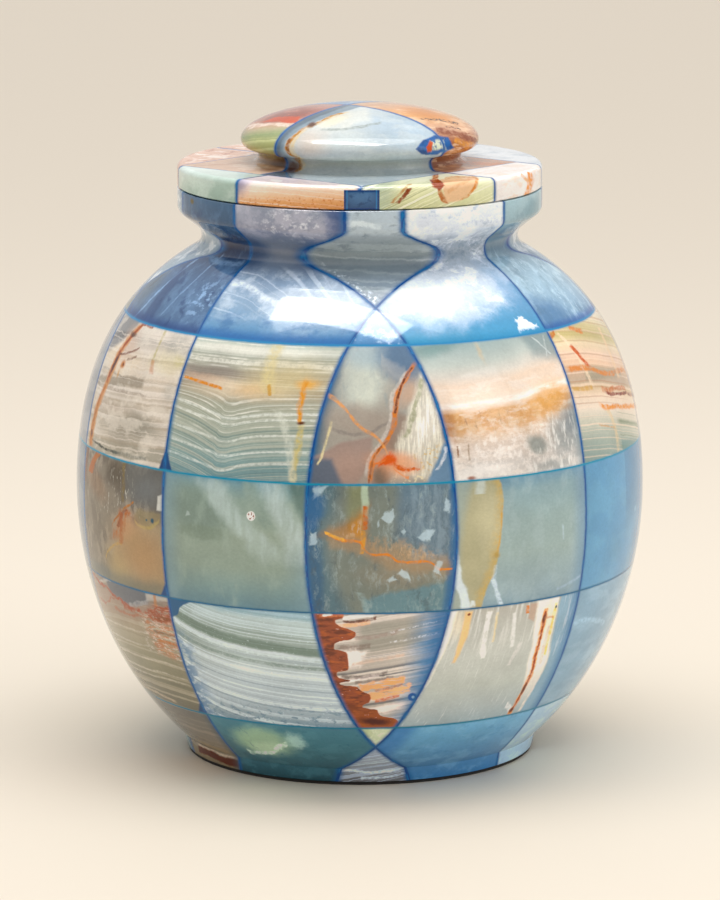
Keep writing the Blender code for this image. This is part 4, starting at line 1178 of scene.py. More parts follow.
@stone("left", "#a9a68b", (0.87, 0.84, 0.86))
def lower_left_front(s):
    s.grade((25, "#8b8b78"), (30, "#96957e"), (38, "#a09f83"), (45, "#a9a78a"),
            (51, "#b9b297"), (57, "#b8a98f"), (63, "#bba592"), (70, "#a79b90"))
    height = s.z - s.curve(s.a, [(-80, -14), (-60, -6), (-48, -2.2), (-36, 0), (-16, 0.6), (0, 0)])
    s.lay("#c9c3ab", s.band(2.6, 0.52, 0.66, height=height, detail=3, warp=0.4) * 0.7)
    s.lay("#8d8c74", s.band(1.7, 0.56, 0.7, height=height, detail=3, warp=0.4, seed=2) * 0.5)
    for level in (52.8, 47.6, 42.2, 37.6, 35.4):
        line = s.vein([(-54, level - 1.8), (-36, level), (-24, level + 0.3), (-12, level + 1),
                       (0, level + 0.2)], 0.25, 0.5, warp=0.6, seed=int(level))
        s.lay("#ddd8c6", line * 0.6)
    s.lay("#d2c4a8", s.vein([(-50, 24.6), (-42, 26.8), (-33, 27.8), (-22, 27.6), (-14, 26.8)],
                            0.5, 0.7) * 0.9)
    s.lay("#bda48f", s.patch([(-54, 56), (-20, 57), (-14, 62), (-54, 69)], 2.4, 2.0) * 0.5)
    s.lay("#d98f5c", s.patch([(-13, 47), (1, 45), (1, 62), (-16, 61)], 1.8, 2.0)
          * s.cloud((4, 4, 0.9), 0.42, 0.6, turn=4, detail=5, rough=0.65, seed=5, warp=1.5) * 0.85)
    s.lay("#e6ddd0", s.patch([(-18, 47), (1, 45), (1, 62), (-18, 61)], 1.8, 2.0)
          * s.cloud((3, 4, 0.8), 0.5, 0.62, turn=4, detail=5, rough=0.65, seed=15, warp=1.5) * 0.7)
    s.lay("#d9863c", s.vein([(-11.5, 51.4), (-7, 52.2), (0, 51.6)], 0.4, 0.6, warp=0.7) * 0.8)
    s.lay("#dfa066", s.vein([(-11, 48.6), (-4, 47.8)], 0.4, 0.9) * 0.6)
    s.lay("#8f6f4e", s.vein([(-12, 56), (-5, 55.2), (0, 56)], 0.4, 0.6) * 0.6)
    s.lay("#7f8892", s.patch([(-40, 71), (-36, 65.5), (-26, 63), (-18, 63.6), (-11, 66.5),
                              (-10, 71)], 1.0, 0.8) * 0.95)
    s.lay("#b9bdc0", s.vein([(-24, 63), (-17, 64.6), (-11, 66.4)], 0.9, 0.8) * 0.8)
    s.lay("#cfcfc9", s.patch([(-12, 66.6), (-4, 68), (1, 69), (1, 71), (-12, 71)], 0.7, 0.5) * 0.8)
    s.lay("#d9dbd9", s.vein([(-46, 66.6), (-40, 68.6), (-34, 70)], 0.4, 0.8) * 0.7)
    s.lay("#cf5c28", s.vein([(-54, 69), (-46, 67.2), (-36, 65.4), (-28, 62.8), (-22, 62.2),
                             (-15, 61.6)], 0.6, 0.7, warp=2.2))
    s.lay("#c8714a", s.vein([(-50, 59.4), (-42, 59.8), (-36, 62.6), (-30, 63.6)], 0.4, 0.6,
                            warp=2.2) * 0.8)
    s.lay("#c9805a", s.vein([(-36, 58.8), (-24, 59.4), (-16, 60)], 0.4, 0.7, warp=2.2) * 0.8)
    s.lay("#cb6231", s.patch([(-16, 61), (-9, 59.5), (1, 59.5), (1, 66.6), (-7, 66), (-11, 64)],
                             0.9, 2.4) * s.cloud((2.6, 3, 1.2), 0.36, 0.56, turn=12, detail=5,
                                                 rough=0.7, seed=16, warp=1.5) * 0.95)
    s.lay("#a85a1a", s.blob((-4, 61), (3.4, 0.9), soft=0.6) * 0.8)
    s.lay("#e2b49a", s.cloud((3, 4, 0.9), 0.52, 0.64, turn=8, detail=3, seed=8)
          * s.patch([(-16, 60), (1, 58), (1, 67), (-9, 66)], 1, 1) * 0.7)
    s.lay("#dd9a5e", s.vein([(-7.2, 71), (-7, 68), (-7.6, 65)], 0.7, 0.9) * 0.8)
    s.lay("#c8683a", s.vein([(-28, 60.8), (-24, 61.8), (-20, 60.8)], 1.0, 0.9, warp=1.0) * 0.8)
    s.resin("#0e4a80", s.patch([(-4.4, 24), (1, 24), (1, 29.6), (-1, 29)], 0.5, 0.5))


@stone("left", "#c3c9c3", (0.96, 1.09, 1.24))
def lower_front_left(s):
    s.grade((25, "#8fa5b0"), (29, "#a7b3b7"), (34, "#bcc3c4"), (44, "#c6cbc8"), (51, "#c3c9c0"),
            (57, "#abb4a7"), (62, "#a9b4a6"), (66, "#b5bfb4"), (70, "#b3c6c4"))
    bend = s.curve(s.a, [(0, 6.5), (6, 3.4), (14, 0.8), (25, -1.4), (38, -2.8), (54, -3.8)])
    height = s.z - bend
    s.lay("#dfe1dd", s.band(3.4, 0.48, 0.62, height=height, detail=5, rough=0.68, warp=0.3) * 0.8)
    s.lay("#8f9d90", s.band(2.6, 0.55, 0.68, height=height, detail=4, rough=0.6, warp=0.25,
                            seed=2) * s.smooth(s.z, 42, 52) * 0.8)
    s.lay("#93a3ab", s.band(2.1, 0.55, 0.68, height=height, detail=5, rough=0.7, warp=0.25,
                            seed=7) * s.smooth(s.z, 58, 46) * 0.7)
    s.lay("#eceeeb", s.band(0.9, 0.6, 0.7, height=height, detail=4, rough=0.6, warp=0.2,
                            seed=15) * 0.5)
    s.lay("#82937f", s.vein([(0, 66), (8, 62.4), (16, 59.8), (28, 57.4), (40, 56), (54, 54.6)],
                            2.0, 1.4, warp=0.4, fade=0.01, uneven=0.3) * 0.85)
    s.lay("#8c9b8d", s.vein([(0, 58), (8, 54.6), (18, 52), (30, 50.2), (54, 48.4)], 0.5, 0.8,
                            warp=0.4, fade=0.01) * 0.7)
    s.lay("#dde1db", s.vein([(0, 62), (8, 58.6), (18, 55.6), (30, 53.6), (54, 51.6)], 0.6, 0.8,
                            warp=0.4, fade=0.01) * 0.8)
    s.lay("#d3dcd8", s.patch([(10, 65), (54, 60), (54, 67), (12, 69)], 1.6, 1.0) * 0.5)
    s.lay("#8db4be", s.patch([(22, 68.5), (54, 66.5), (54, 71), (16, 71)], 1.2, 1.0) * 0.6)
    s.lay("#7f9bb5", s.smooth(s.a, 10, 1) * s.cloud((4, 5, 2.4), 0.4, 0.6, detail=4, seed=4)
          * s.smooth(s.z, 62, 50))
    s.lay("#8199a8", s.cloud((2, 3, 1.4), 0.52, 0.66, detail=4, seed=9)
          * s.smooth(s.z, 37, 27) * 0.9)
    s.lay("#f0f2ef", s.cloud((1.0, 2, 0.6), 0.64, 0.72, detail=3, seed=12) * 0.5)
    s.resin("#1f5f8f", s.beyond([(-2, 61), (0, 62.5), (3, 64), (5, 67), (10, 69.5), (12, 70.6)],
                                0.4, 0.6) * s.smooth(s.a, 12, 9.6))


@stone("front", "#b3b1a6", (1.33, 1.24, 1.29))
def lower_front(s):
    s.lay("#cfccc2", s.band(2.0, 0.46, 0.6, turn=9, detail=5, rough=0.65, warp=0.3) * 0.9)
    s.lay("#74787a", s.band(1.5, 0.56, 0.68, turn=9, detail=5, rough=0.65, warp=0.3, seed=3) * 0.8)
    s.lay("#8f9486", s.patch([(0, 55), (22, 58), (22, 68), (0, 66)], 1.6, 0.8) * 0.6)
    s.lay("#4b8fc0", s.beyond([(12, 24), (15, 36), (18, 48), (20, 60), (22, 71)], 6.0, 1.2)
          * (s.band(2.2, 0.4, 0.6, turn=9, detail=4, seed=5) * 0.35 + 0.62))
    s.lay("#f0ede6", s.patch([(-5, 50.6), (0, 50.8), (2.6, 55.6), (-4, 55.8)], 1.4, 2.4) * 0.85)
    s.lay("#f2ece6", s.vein([(-4, 44.6), (0, 45.4), (7, 46.6)], 0.8, 0.7))
    s.lay("#f1efeb", s.vein([(-6, 68), (0, 69.2), (5, 69.8)], 0.7, 0.6))
    s.lay("#e9dfd6", s.blob((9.6, 33.4), (5.6, 1.6), turn=8, soft=0.6) * 0.9)
    s.lay("#c9b6a2", s.vein([(-3, 51), (6, 52.4), (16, 54.4)], 0.4, 0.8) * 0.8)
    s.lay("#6b605a", s.vein([(-7, 46.4), (0, 46), (10, 48)], 0.5, 1.0, warp=1.2) * 0.7)
    s.lay("#7b6b62", s.vein([(-2, 43.7), (4, 44.4), (12, 46)], 0.4, 0.8, warp=1.2) * 0.6)
    s.lay("#857468", s.vein([(-8, 57), (-2, 57), (4, 58.4)], 0.8, 1.0, warp=1.2) * 0.6)
    s.lay("#a3978c", s.vein([(-2, 61), (6, 61.6), (14, 64)], 0.7, 0.9) * 0.8)
    s.lay("#f5a869", s.vein([(-0.6, 41.7), (6, 42.7), (16, 44.6)], 2.2, 0.9, warp=1.6)
          * s.cloud((5, 4, 0.9), 0.34, 0.52, turn=10, detail=4, seed=12))
    s.lay("#f7b27a", s.vein([(2.5, 38.4), (8, 39.2), (18, 41.4)], 2.4, 1.0, warp=1.6)
          * s.cloud((5, 4, 0.9), 0.34, 0.52, turn=10, detail=4, seed=13))
    s.lay("#a9684a", s.vein([(5, 40.5), (9, 41.2), (15, 42.8)], 0.4, 0.6, warp=1.2) * 0.6)
    s.lay("#d9703a", s.vein([(5, 36.3), (9.5, 37.2), (14, 38.4)], 0.6, 0.6, warp=0.6) * 0.9)
    s.lay("#f0b489", s.vein([(-7.8, 65), (-3, 65.8), (4, 67)], 1.1, 0.6, warp=0.5))
    s.lay("#7e5a4a", s.vein([(-6, 67), (0, 67.4), (6, 68.4)], 0.5, 0.5))
    for low, high, seed in ((62.8, 66.4, 8), (59, 61.8, 9)):
        line = s.vein([(9, low), (17, (low + high) / 2 - 0.3), (27, high)], 0.25, 0.4)
        s.lay("#d9e3ea", line * s.cloud(1.0, 0.42, 0.6, seed=seed) * 0.6)
    s.lay("#1a72b4", s.beyond([(16, 24), (19, 36), (22, 48), (24.6, 60), (27, 71)], 3.6, 1.0)
          * 0.75)
    edge = [(-5.6, 71), (-5.8, 68.4), (-8.5, 67.4), (-7.2, 65.4), (-3, 63.8), (-1.4, 62.4),
            (-3, 60.4), (-8.6, 58.4), (-8.6, 56.6), (-4.6, 55.4), (-4, 52.6), (-4.2, 49),
            (-8.2, 47.2), (-7.4, 45.4), (-3.4, 44.6), (-7, 43.4), (-1.6, 42.4), (0.6, 40.4),
            (3.6, 38.2), (3.2, 36), (0.8, 34.2), (5.8, 32.8), (6.8, 30.6), (9.6, 29.4),
            (13, 28), (14, 24)]
    rust = s.beyond(edge, 0.3, 0.6).flip()
    s.lay("#d98a52", s.beyond(edge, 0.5, 0.6).flip() * 0.9)
    s.lay("#a9552c", rust)
    s.lay("#85401f", rust * s.cloud((5, 5, 2), 0.46, 0.62, turn=8, detail=5, seed=2))
    s.lay("#bf6428", rust * s.cloud((4, 4, 1.2), 0.52, 0.66, turn=6, detail=4, seed=6) * 0.9)
    s.lay("#b8621c", rust * s.smooth(s.z, 38, 28) * 0.7)
    s.lay("#6f2c16", s.blob((5.5, 27.8), (5, 1.5), turn=-8, soft=0.6) * rust)
    s.lay("#e3d0c2", rust * s.cloud((2.0, 3, 0.5), 0.7, 0.75, turn=8, detail=2, seed=11) * 0.8)
    s.lay("#d9804a", s.vein([(-14, 68.8), (-9, 69.4), (-5, 69.6)], 0.9, 0.5))
    s.lay("#f2ece4", s.vein([(-13, 69), (-9, 69.6)], 0.35, 0.4))
    s.resin("#0d5aa8", s.beyond([(13, 24), (15, 30), (19, 35), (20.4, 38), (24, 42)], 0.3, 0.3)
            * s.smooth(s.z, 36, 33))
    s.resin("#0c58a6", s.blob((18.4, 37.4), (1.7, 1.6), soft=0.2, warp=0.7))
    s.resin("#8fbcd9", s.blob((18.5, 37.4), (0.5, 0.5), soft=0.4, warp=0.3))


@stone("right", "#bcc1b7", (1.15, 1.17, 1.24))
def lower_front_right(s):
    s.grade((25, "#a2b4b8"), (31, "#b0bbb9"), (40, "#bcc2b8"), (52, "#c0c3b9"), (64, "#b9b9ae"),
            (70, "#b5b2a6"))
    s.lay("#cfcfc6", s.cloud((1.3, 8, 20), 0.48, 0.64, detail=4, seed=2)
          * s.smooth(s.z, 48, 60) * 0.8)
    s.lay("#d9dad3", s.cloud((0.6, 5, 9), 0.6, 0.7, detail=3, seed=3) * 0.4)
    s.lay("#efe6cf", s.patch([(-54, 34), (-52.6, 36), (-50.2, 71), (-54.5, 71)], 0.6, 0.6) * 0.95)
    s.lay("#f5efe2", s.vein([(-53.4, 50), (-52.4, 60), (-51.8, 71)], 0.8, 0.8) * 0.8)
    s.lay("#e2d3b3", s.blob((-49, 65), (2.2, 5), soft=0.9) * 0.6)
    s.lay("#edc07a", s.patch([(-47.4, 50), (-46.6, 50), (-45.2, 60), (-45.6, 69), (-48, 69)],
                             0.5, 0.5) * 0.9)
    s.lay("#a04a1c", s.blob((-46.6, 67.9), (0.5, 0.45), soft=0.5, warp=0.3))
    s.lay("#e8e6dd", s.vein([(-39.8, 69), (-38.8, 58), (-37.2, 50)], 0.8, 0.8) * 0.9)
    s.lay("#e3cf9a", s.vein([(-36.8, 68), (-36, 62), (-35.4, 56)], 0.3, 0.6) * 0.8)
    s.lay("#e0dfd8", s.vein([(-30, 67), (-28.6, 60), (-27.4, 53)], 0.7, 0.9) * 0.8)
    s.lay("#ddd9d2", s.vein([(-24, 55), (-26, 46)], 0.7, 0.9) * 0.6)
    s.lay("#e08a44", s.vein([(-24.8, 68.6), (-24.3, 65.4)], 0.7, 0.6))
    s.lay("#c5a58c", s.patch([(-23.4, 63.6), (-20.6, 62), (-20.6, 69), (-23.8, 69)],
                             0.5, 0.5) * 0.8)
    band = s.beyond([(-15.8, 40), (-17.4, 47), (-18.6, 55), (-20, 62), (-20.6, 71)], 0.9, 0.8) \
        * s.beyond([(-9.4, 24), (-9, 33), (-8, 43), (-9.4, 51), (-10.4, 58), (-10.4, 71)],
                   0.6, 0.6).flip()
    s.lay("#eee3d4", band * s.smooth(s.z, 24, 46) * 0.95)
    s.lay("#f2d9b5", s.blob((-14.6, 63), (2.6, 5), soft=0.8) * band * 0.7)
    s.lay("#c9b7a2", s.vein([(-12.4, 60), (-12, 52), (-11, 44)], 0.7, 1.0) * 0.6)
    s.lay("#f0c95e", s.vein([(-11.3, 68), (-11.6, 60), (-11, 53), (-10, 47)], 0.8, 0.7) * 0.9)
    s.lay("#2b5f72", s.blob((-11.2, 66), (0.45, 0.5), soft=0.5, warp=0.4))
    s.lay("#e9d9c8", s.vein([(-8.6, 50), (-8.2, 42), (-9, 32), (-9.4, 25)], 0.6, 0.8) * 0.7)
    s.lay("#f0ece6", s.vein([(-18.6, 30), (-14, 27)], 1.2, 1.2) * 0.6)
    s.lay("#ee9434", s.vein([(-16, 66.5), (-15.6, 56), (-14.6, 48), (-13.7, 42), (-13.7, 34),
                             (-14, 24)], 1.0, 1.0, warp=0.6, fade=0.02, uneven=0.7))
    s.lay("#b8440c", s.vein([(-16, 65.5), (-15.6, 58), (-14.6, 48), (-13.6, 41), (-13.8, 26)],
                            0.45, 0.4, warp=0.6, fade=0.02, uneven=0.9))
    s.lay("#7d3012", s.blob((-16, 62.6), (0.8, 1.4), soft=0.6, warp=0.6) * 0.9)
    s.lay("#6f2a12", s.blob((-13.7, 35.2), (0.7, 2.4), soft=0.6, warp=0.6) * 0.85)
    s.lay("#7d3012", s.blob((-14, 27), (0.8, 1.0), soft=0.6, warp=0.6) * 0.9)
    s.lay("#c98a5a", s.vein([(-16, 62.7), (-11.4, 62.3)], 0.3, 0.5) * 0.7)
    s.lay("#86aec4", s.beyond([(-8.6, 24), (-8.2, 36), (-7.2, 43), (-8.8, 52), (-9.8, 62),
                               (-9.6, 71)], 0.8, 0.6) * 0.9)
    s.lay("#c3cfd6", s.cloud((0.7, 5, 8), 0.52, 0.64, detail=4, seed=6)
          * s.smooth(s.a, -9, -6) * s.smooth(s.z, 40, 56) * 0.7)
    s.lay("#3f88ba", s.smooth(s.a, -5.5, -0.5) * 0.75)


@stone("right", "#a6b6bb", (0.71, 0.99, 1.28))
def lower_right_front(s):
    s.lay("#b5c1c3", s.cloud((14, 12, 6), 0.42, 0.62, turn=18, detail=3) * 0.8)
    s.lay("#98abb3", s.cloud((10, 10, 5), 0.52, 0.68, turn=22, detail=4, seed=3) * 0.5)
    s.lay("#cdd7d8", s.vein([(0, 58), (8, 57.4), (17, 55.6), (27, 52)], 0.6, 1.2) * 0.6)
    s.lay("#8ea5b2", s.beyond([(0, 26.8), (12, 24.6), (24, 22)], 1.0, 0.4).flip() * 0.6)


@stone("left", "#9ca4a2")
def lower_left(s):
    s.lay("#b3b1a2", s.band(7, 0.42, 0.6, turn=12, detail=4, warp=1.5) * 0.7)


# Foot

@stone("left", "#9b9d9a", (0.86, 0.75, 0.66))
def foot_left_front(s):
    s.grade((1, "#a39a7f"), (5, "#a8a184"), (9, "#a6a291"), (13, "#9d9f9c"), (25, "#8b9497"))
    s.lay("#b4b5b0", s.band(3.2, 0.48, 0.64, detail=3, warp=0.6) * 0.6)
    s.lay("#858a87", s.cloud((9, 6, 2), 0.54, 0.68, detail=4, seed=3, warp=1) * 0.5)
    s.lay("#c4b894", s.vein([(-60, 8.4), (-30, 8.8), (-12, 8), (0, 7.6)], 1.0, 1.0) * 0.7)
    s.lay("#e8e4d8", s.vein([(-26, 5.8), (-14, 5.6), (0, 5.2)], 0.4, 0.5) * 0.8)
    s.lay("#8a3208", s.vein([(-26, 4), (-14, 3.8), (0, 3.4)], 1.6, 1.0, warp=1))
    s.lay("#5c7f93", s.smooth(s.a, -5, 0) * 0.6)


@stone("left", "#41757c", (1.22, 1.59, 1.96))
def foot_front_left(s):
    s.grade((1, "#28575e"), (6, "#3f7178"), (15, "#48797e"), (25, "#4f8188"))
    s.lay("#5b8d90", s.cloud((8, 9, 5), 0.48, 0.64, detail=4, warp=1) * 0.35)
    s.lay("#a8b488", s.blob((18, 16.4), (11, 5.4), turn=8, soft=0.5, warp=2) * 0.9)
    s.lay("#c3c69c", s.blob((18, 14), (6, 2.4), turn=10, soft=0.6) * 0.7)
    s.lay("#dfdcbb", s.vein([(8, 10.8), (17, 11.6), (22, 14), (28, 17.4)], 0.9, 0.8, warp=2) * 0.8)
    s.lay("#bccab2", s.blob((31, 18.6), (3.4, 2.6), turn=50, soft=0.6, warp=3) * 0.7)
    s.lay("#2b6172", s.cloud((2, 3, 2), 0.6, 0.7, detail=3, seed=4) * 0.25)


@stone("front", "#a39d94", (1.19, 1.54, 2.18))
def foot_inner_front(s):
    s.grade((1, "#7b6d60"), (4, "#93877a"), (7, "#a79f96"), (13, "#a9a49c"), (20, "#b0ada6"))
    s.lay("#c4beb4", s.band(1.6, 0.5, 0.64, turn=10, detail=3, warp=0.5) * 0.7)
    s.lay("#7d7266", s.band(1.3, 0.58, 0.7, turn=10, detail=3, warp=0.5, seed=3) * 0.7)
    s.lay("#f0ebe0", s.vein([(-13, 5), (-4, 5.4), (4, 5), (17, 7.4)], 0.3, 0.7, warp=1.2) * 0.6)
    s.lay("#ece6d8", s.vein([(0, 2.6), (9, 3), (18, 4.4)], 0.3, 0.7, warp=1.2) * 0.6)
    s.lay("#dcd7cd", s.band(0.7, 0.54, 0.68, turn=10, detail=4, warp=0.7, seed=9) * 0.6)


@stone("front", "#cfd3b4", (1.1, 1.2, 1.2))
def foot_front(s):
    s.lay("#b9c38e", s.smooth(s.a, 6, 0) * 0.9)
    s.lay("#e6e6cf", s.cloud((2, 2, 3), 0.48, 0.62, detail=4, warp=1) * 0.5)


@stone("right", "#5a86b0", (1.51, 1.98, 1.95))
def foot_front_right(s):
    s.grade((1, "#3b73aa"), (8, "#5580ad"), (25, "#6b97bb"))
    s.lay("#7fa3c2", s.cloud((8, 8, 5), 0.48, 0.66, detail=4, warp=1) * 0.35)
    s.lay("#3f74a8", s.cloud((5, 5, 3), 0.56, 0.68, detail=4, seed=5, warp=1) * 0.3)
    s.lay("#1763ad", s.smooth(s.a, -44, -50) * 0.6)


@stone("right", "#93afb8", (1.64, 1.71, 2.05))
def foot_right_front(s):
    s.lay("#a9c0c5", s.cloud((9, 9, 4), 0.46, 0.64, detail=4, warp=1) * 0.7)


@stone("left", "#8f969a")
def foot_left(s):
    s.lay("#a39d8f", s.band(4, 0.46, 0.62, detail=3, warp=0.8) * 0.7)


# Neck

@stone("left", "#8297a6", (0.26, 0.43, 0.68))
def neck_left_front(s):
    # Painted shade: the grade darkens towards the neck's hollow at about 187 mm, over the stone's
    # own blue-grey.
    s.grade((160, "#8fa5ba"), (170, "#9db0bf"), (178, "#8a9fb3"), (183, "#6a86a5"),
            (187, "#4a6a90"), (192, "#64829c"), (197, "#7f98a8"), (203, "#93a6b0"))
    s.lay("#c3d0d9", s.cloud((6, 10, 9), 0.44, 0.66, turn=-28, detail=6, rough=0.62, warp=4) * 0.45)
    s.lay("#5f7fa6", s.cloud((5, 7, 6), 0.54, 0.68, turn=20, detail=5, seed=3, warp=3) * 0.7)
    s.lay("#123f78", s.blob((-16, 186), (11, 3.4), soft=0.7, warp=1.8) * 0.9)
    s.lay("#d3dbe2", s.vein([(-24, 183.4), (-12, 181.2), (-1, 182)], 0.7, 0.8) * 0.9)
    s.lay("#edf1f4", s.cloud((3, 4, 2.4), 0.5, 0.62, detail=5, seed=5)
          * s.blob((-6, 170), (7, 6), soft=0.7) * 0.95)
    s.lay("#e6ecf1", s.vein([(-25, 184), (-31, 175), (-37, 166), (-42, 159)], 0.6, 0.7))
    s.lay("#d9e1e8", s.vein([(-14, 184), (-18, 174), (-24, 163)], 0.3, 0.6) * 0.8)
    s.lay("#5f7ea6", s.patch([(-35, 161), (-28, 161), (-27, 174), (-31, 179)], 1.2, 1.0) * 0.7)
    s.lay("#b3a07c", s.blob((-46, 172), (7, 9), soft=0.7, warp=3) * 0.5)
    s.lay("#c98f3a", s.blob((-25, 201.5), (1.3, 0.9), soft=0.6, warp=0.5))
    s.lay("#1a70b4", s.smooth(s.z, 163.8, 160.4) * 0.8)


@stone("left", "#8f9aa8", (1.07, 1.11, 1.13))
def neck_front_left(s):
    # Painted shade: the grade darkens towards the neck's hollow at about 186 mm, over the stone's
    # own blue-grey.
    s.grade((160, "#3a86c0"), (164, "#6c9fca"), (170, "#8eacca"), (177, "#8ea6c3"),
            (182, "#7f92ad"), (186, "#637c9c"), (191, "#7c8ba5"), (196, "#989bb0"),
            (203, "#a0a5b6"))
    s.lay("#c9d5e2", s.cloud((9, 10, 6), 0.44, 0.64, turn=-30, detail=6, rough=0.6, warp=3)
          * s.smooth(s.z, 164, 170) * s.smooth(s.z, 183, 179) * 0.6)
    # Painted highlight: a pale patch on the shoulder where the lamp above mirrors in the polish.
    s.lay("#e3eaf1", s.blob((38, 171), (13, 7), soft=0.8, warp=4) * 0.45)
    s.lay("#bfbcc9", s.cloud((9, 9, 6), 0.42, 0.62, detail=5, seed=6, warp=3)
          * s.smooth(s.z, 190, 195) * 0.7)
    s.lay("#e2e0e3", s.cloud((2.6, 4, 2), 0.5, 0.64, turn=-24, detail=6, rough=0.68, seed=16)
          * s.blob((23, 198), (11, 5), soft=0.8, warp=3) * 0.7)
    s.lay("#1f5498", s.beyond([(32, 190), (35, 196), (33, 204)], 3.5, 2.0)
          * s.smooth(s.z, 186, 191) * 0.75)
    s.lay("#9297a5", s.blob((14, 187), (9, 3.8), soft=0.8, warp=2) * 0.6)
    s.lay("#24518a", s.blob((1, 186), (6, 4.4), soft=0.9, warp=1.5) * 0.8)
    s.lay("#174f92", s.blob((27, 186.4), (6, 4), soft=0.9, warp=1.2) * 0.85)
    arcs = s.z + s.curve(s.a, [(-4, 0), (10, 0.8), (20, 3.6), (30, 8), (54, 24)])
    s.lay("#eef3f7", s.vein([(0, 176.4), (8, 176), (17, 173.6), (25, 171), (32, 167)], 0.5, 1.0,
                            warp=1.0, fade=0.02) * 0.5)
    s.lay("#e3ebf3", s.smooth(s.layers(1.4, height=arcs, detail=5, warp=0.5, seed=5), 0.54, 0.68)
          * s.smooth(s.z, 165, 169) * s.smooth(s.z, 183, 180) * 0.36)
    s.lay("#3f7fbe", s.cloud((8, 7, 3), 0.46, 0.66, detail=5, seed=4, warp=2)
          * s.smooth(s.z, 172, 164) * 0.6)
    s.lay("#0d72c4", s.smooth(s.z, 164, 160.2) * 0.8)


@stone("front", "#8b9293", (1.77, 1.85, 2.01))
def neck_inner_front(s):
    # Painted shade: the grade darkens towards the neck's hollow at about 184 mm, over the stone's
    # own grey.
    s.grade((170, "#8a949a"), (178, "#76828a"), (184, "#6f7b80"), (188, "#7f8a8b"),
            (194, "#8f9798"), (197, "#96a0a3"), (203, "#9fa9ac"))
    s.lay("#a3aba9", s.band(3.2, 0.46, 0.66, turn=-3, detail=3, warp=1.0) * 0.5)
    s.lay("#66727b", s.cloud((7, 8, 2.4), 0.54, 0.7, turn=-8, detail=5, seed=3, warp=1.6) * 0.5)
    s.lay("#b9bfbb", s.vein([(-14, 197), (-4, 199), (8, 197.4)], 0.8, 1.2, warp=1.5) * 0.7)
    s.lay("#dfe5e8", s.patch([(-9, 181.4), (7, 174.2), (6, 171), (0, 175)], 1.2, 2.4)
          * s.cloud(1.4, 0.46, 0.64, detail=5, seed=5) * 0.6)


@stone("front", "#a6c6e4", (1.1, 1.15, 1.15))
def neck_front(s):
    s.grade((160, "#3f86c4"), (164, "#84b2dc"), (171, "#b6cfe8"))
    s.lay("#c9dcee", s.cloud((3, 3, 3), 0.48, 0.64, detail=3) * 0.6)


@stone("right", "#d6dee6", (1.08, 1.08, 1.13))
def neck_front_right(s):
    # Painted shade: the grade darkens towards the neck's hollow at about 185 mm, over the stone's
    # own blue-grey.
    s.grade((160, "#46a8d0"), (165, "#78b2da"), (170, "#adc9de"), (175, "#c5d5e2"),
            (181, "#bac9d6"), (185, "#97a9b9"), (191, "#a5b3c0"), (194, "#c9d2da"),
            (203, "#d9e0e6"))
    s.lay("#e9eff4", s.cloud((10, 12, 5), 0.44, 0.62, turn=-14, detail=7, rough=0.66, warp=4)
          * s.smooth(s.z, 164, 172) * 0.75)
    s.lay("#8ba3b8", s.cloud((6, 7, 4), 0.52, 0.68, detail=6, rough=0.68, seed=4, warp=3)
          * s.smooth(s.z, 176, 182) * 0.5)
    # Painted shade: a darker band across the neck's hollow, over the stone's mottling.
    s.lay("#7b94a8", s.cloud((4, 5, 2.4), 0.5, 0.66, detail=6, rough=0.68, seed=8, warp=2)
          * s.blob((-20, 187), (28, 4.6), soft=0.8) * 0.7)
    # Painted highlight: a pale patch on the shoulder where the lamp above mirrors in the polish.
    s.lay("#f3f7fa", s.blob((-34, 172), (15, 6), turn=6, soft=0.8, warp=5) * 0.5)
    s.lay("#3ea0d0", s.beyond([(-42, 160), (-28, 164), (-20, 167), (-8, 170), (1, 177)],
                              3.0, 4.0).flip() * 0.8)
    s.lay("#5f9ecb", s.blob((-4, 173), (5, 8), soft=0.8, warp=3) * 0.7)
    s.lay("#f3f8fb", s.patch([(-13, 161), (-9.8, 168.8), (-7, 165.6), (-1, 166), (-3, 161)],
                             0.45, 3.0) * 0.9)
    s.lay("#1f98cc", s.smooth(s.z, 162.8, 160.2) * 0.7)


@stone("right", "#a9bccb", (0.88, 1.08, 1.17))
def neck_right_front(s):
    # Painted shade: the grade darkens towards the neck's hollow at about 185 mm, over the stone's
    # own blue-grey.
    s.grade((160, "#6f97bd"), (166, "#9fb5ca"), (174, "#b3c3d0"), (181, "#a3b5c3"),
            (185, "#7a8fa2"), (191, "#8699a8"), (195, "#a9babf"), (203, "#b3c1c4"))
    s.lay("#d6e0e8", s.cloud((4, 7, 14), 0.46, 0.66, turn=34, detail=6, rough=0.62, warp=3)
          * s.smooth(s.z, 190, 178) * 0.6)
    s.lay("#eef3f6", s.cloud((0.9, 5, 9), 0.6, 0.7, turn=34, detail=4, rough=0.6, seed=4, warp=3)
          * s.smooth(s.z, 188, 178) * 0.5)
    s.lay("#86a3ac", s.blob((22, 198), (8, 4), soft=0.5, warp=2.5) * 0.8)
    s.lay("#5f8ab5", s.blob((8, 164), (10, 5), turn=-10, soft=0.6, warp=3) * 0.85)
    s.lay("#5b7890", s.cloud((7, 9, 7), 0.5, 0.7, detail=5, seed=6, warp=3) * 0.35)
    s.lay("#1466ba", s.smooth(s.z, 163, 160.2) * 0.8)


@stone("left", "#9aa094")
def neck_left(s):
    s.lay("#b3ad9a", s.cloud((9, 9, 6), 0.44, 0.62, detail=4, warp=2) * 0.7)


# Lid

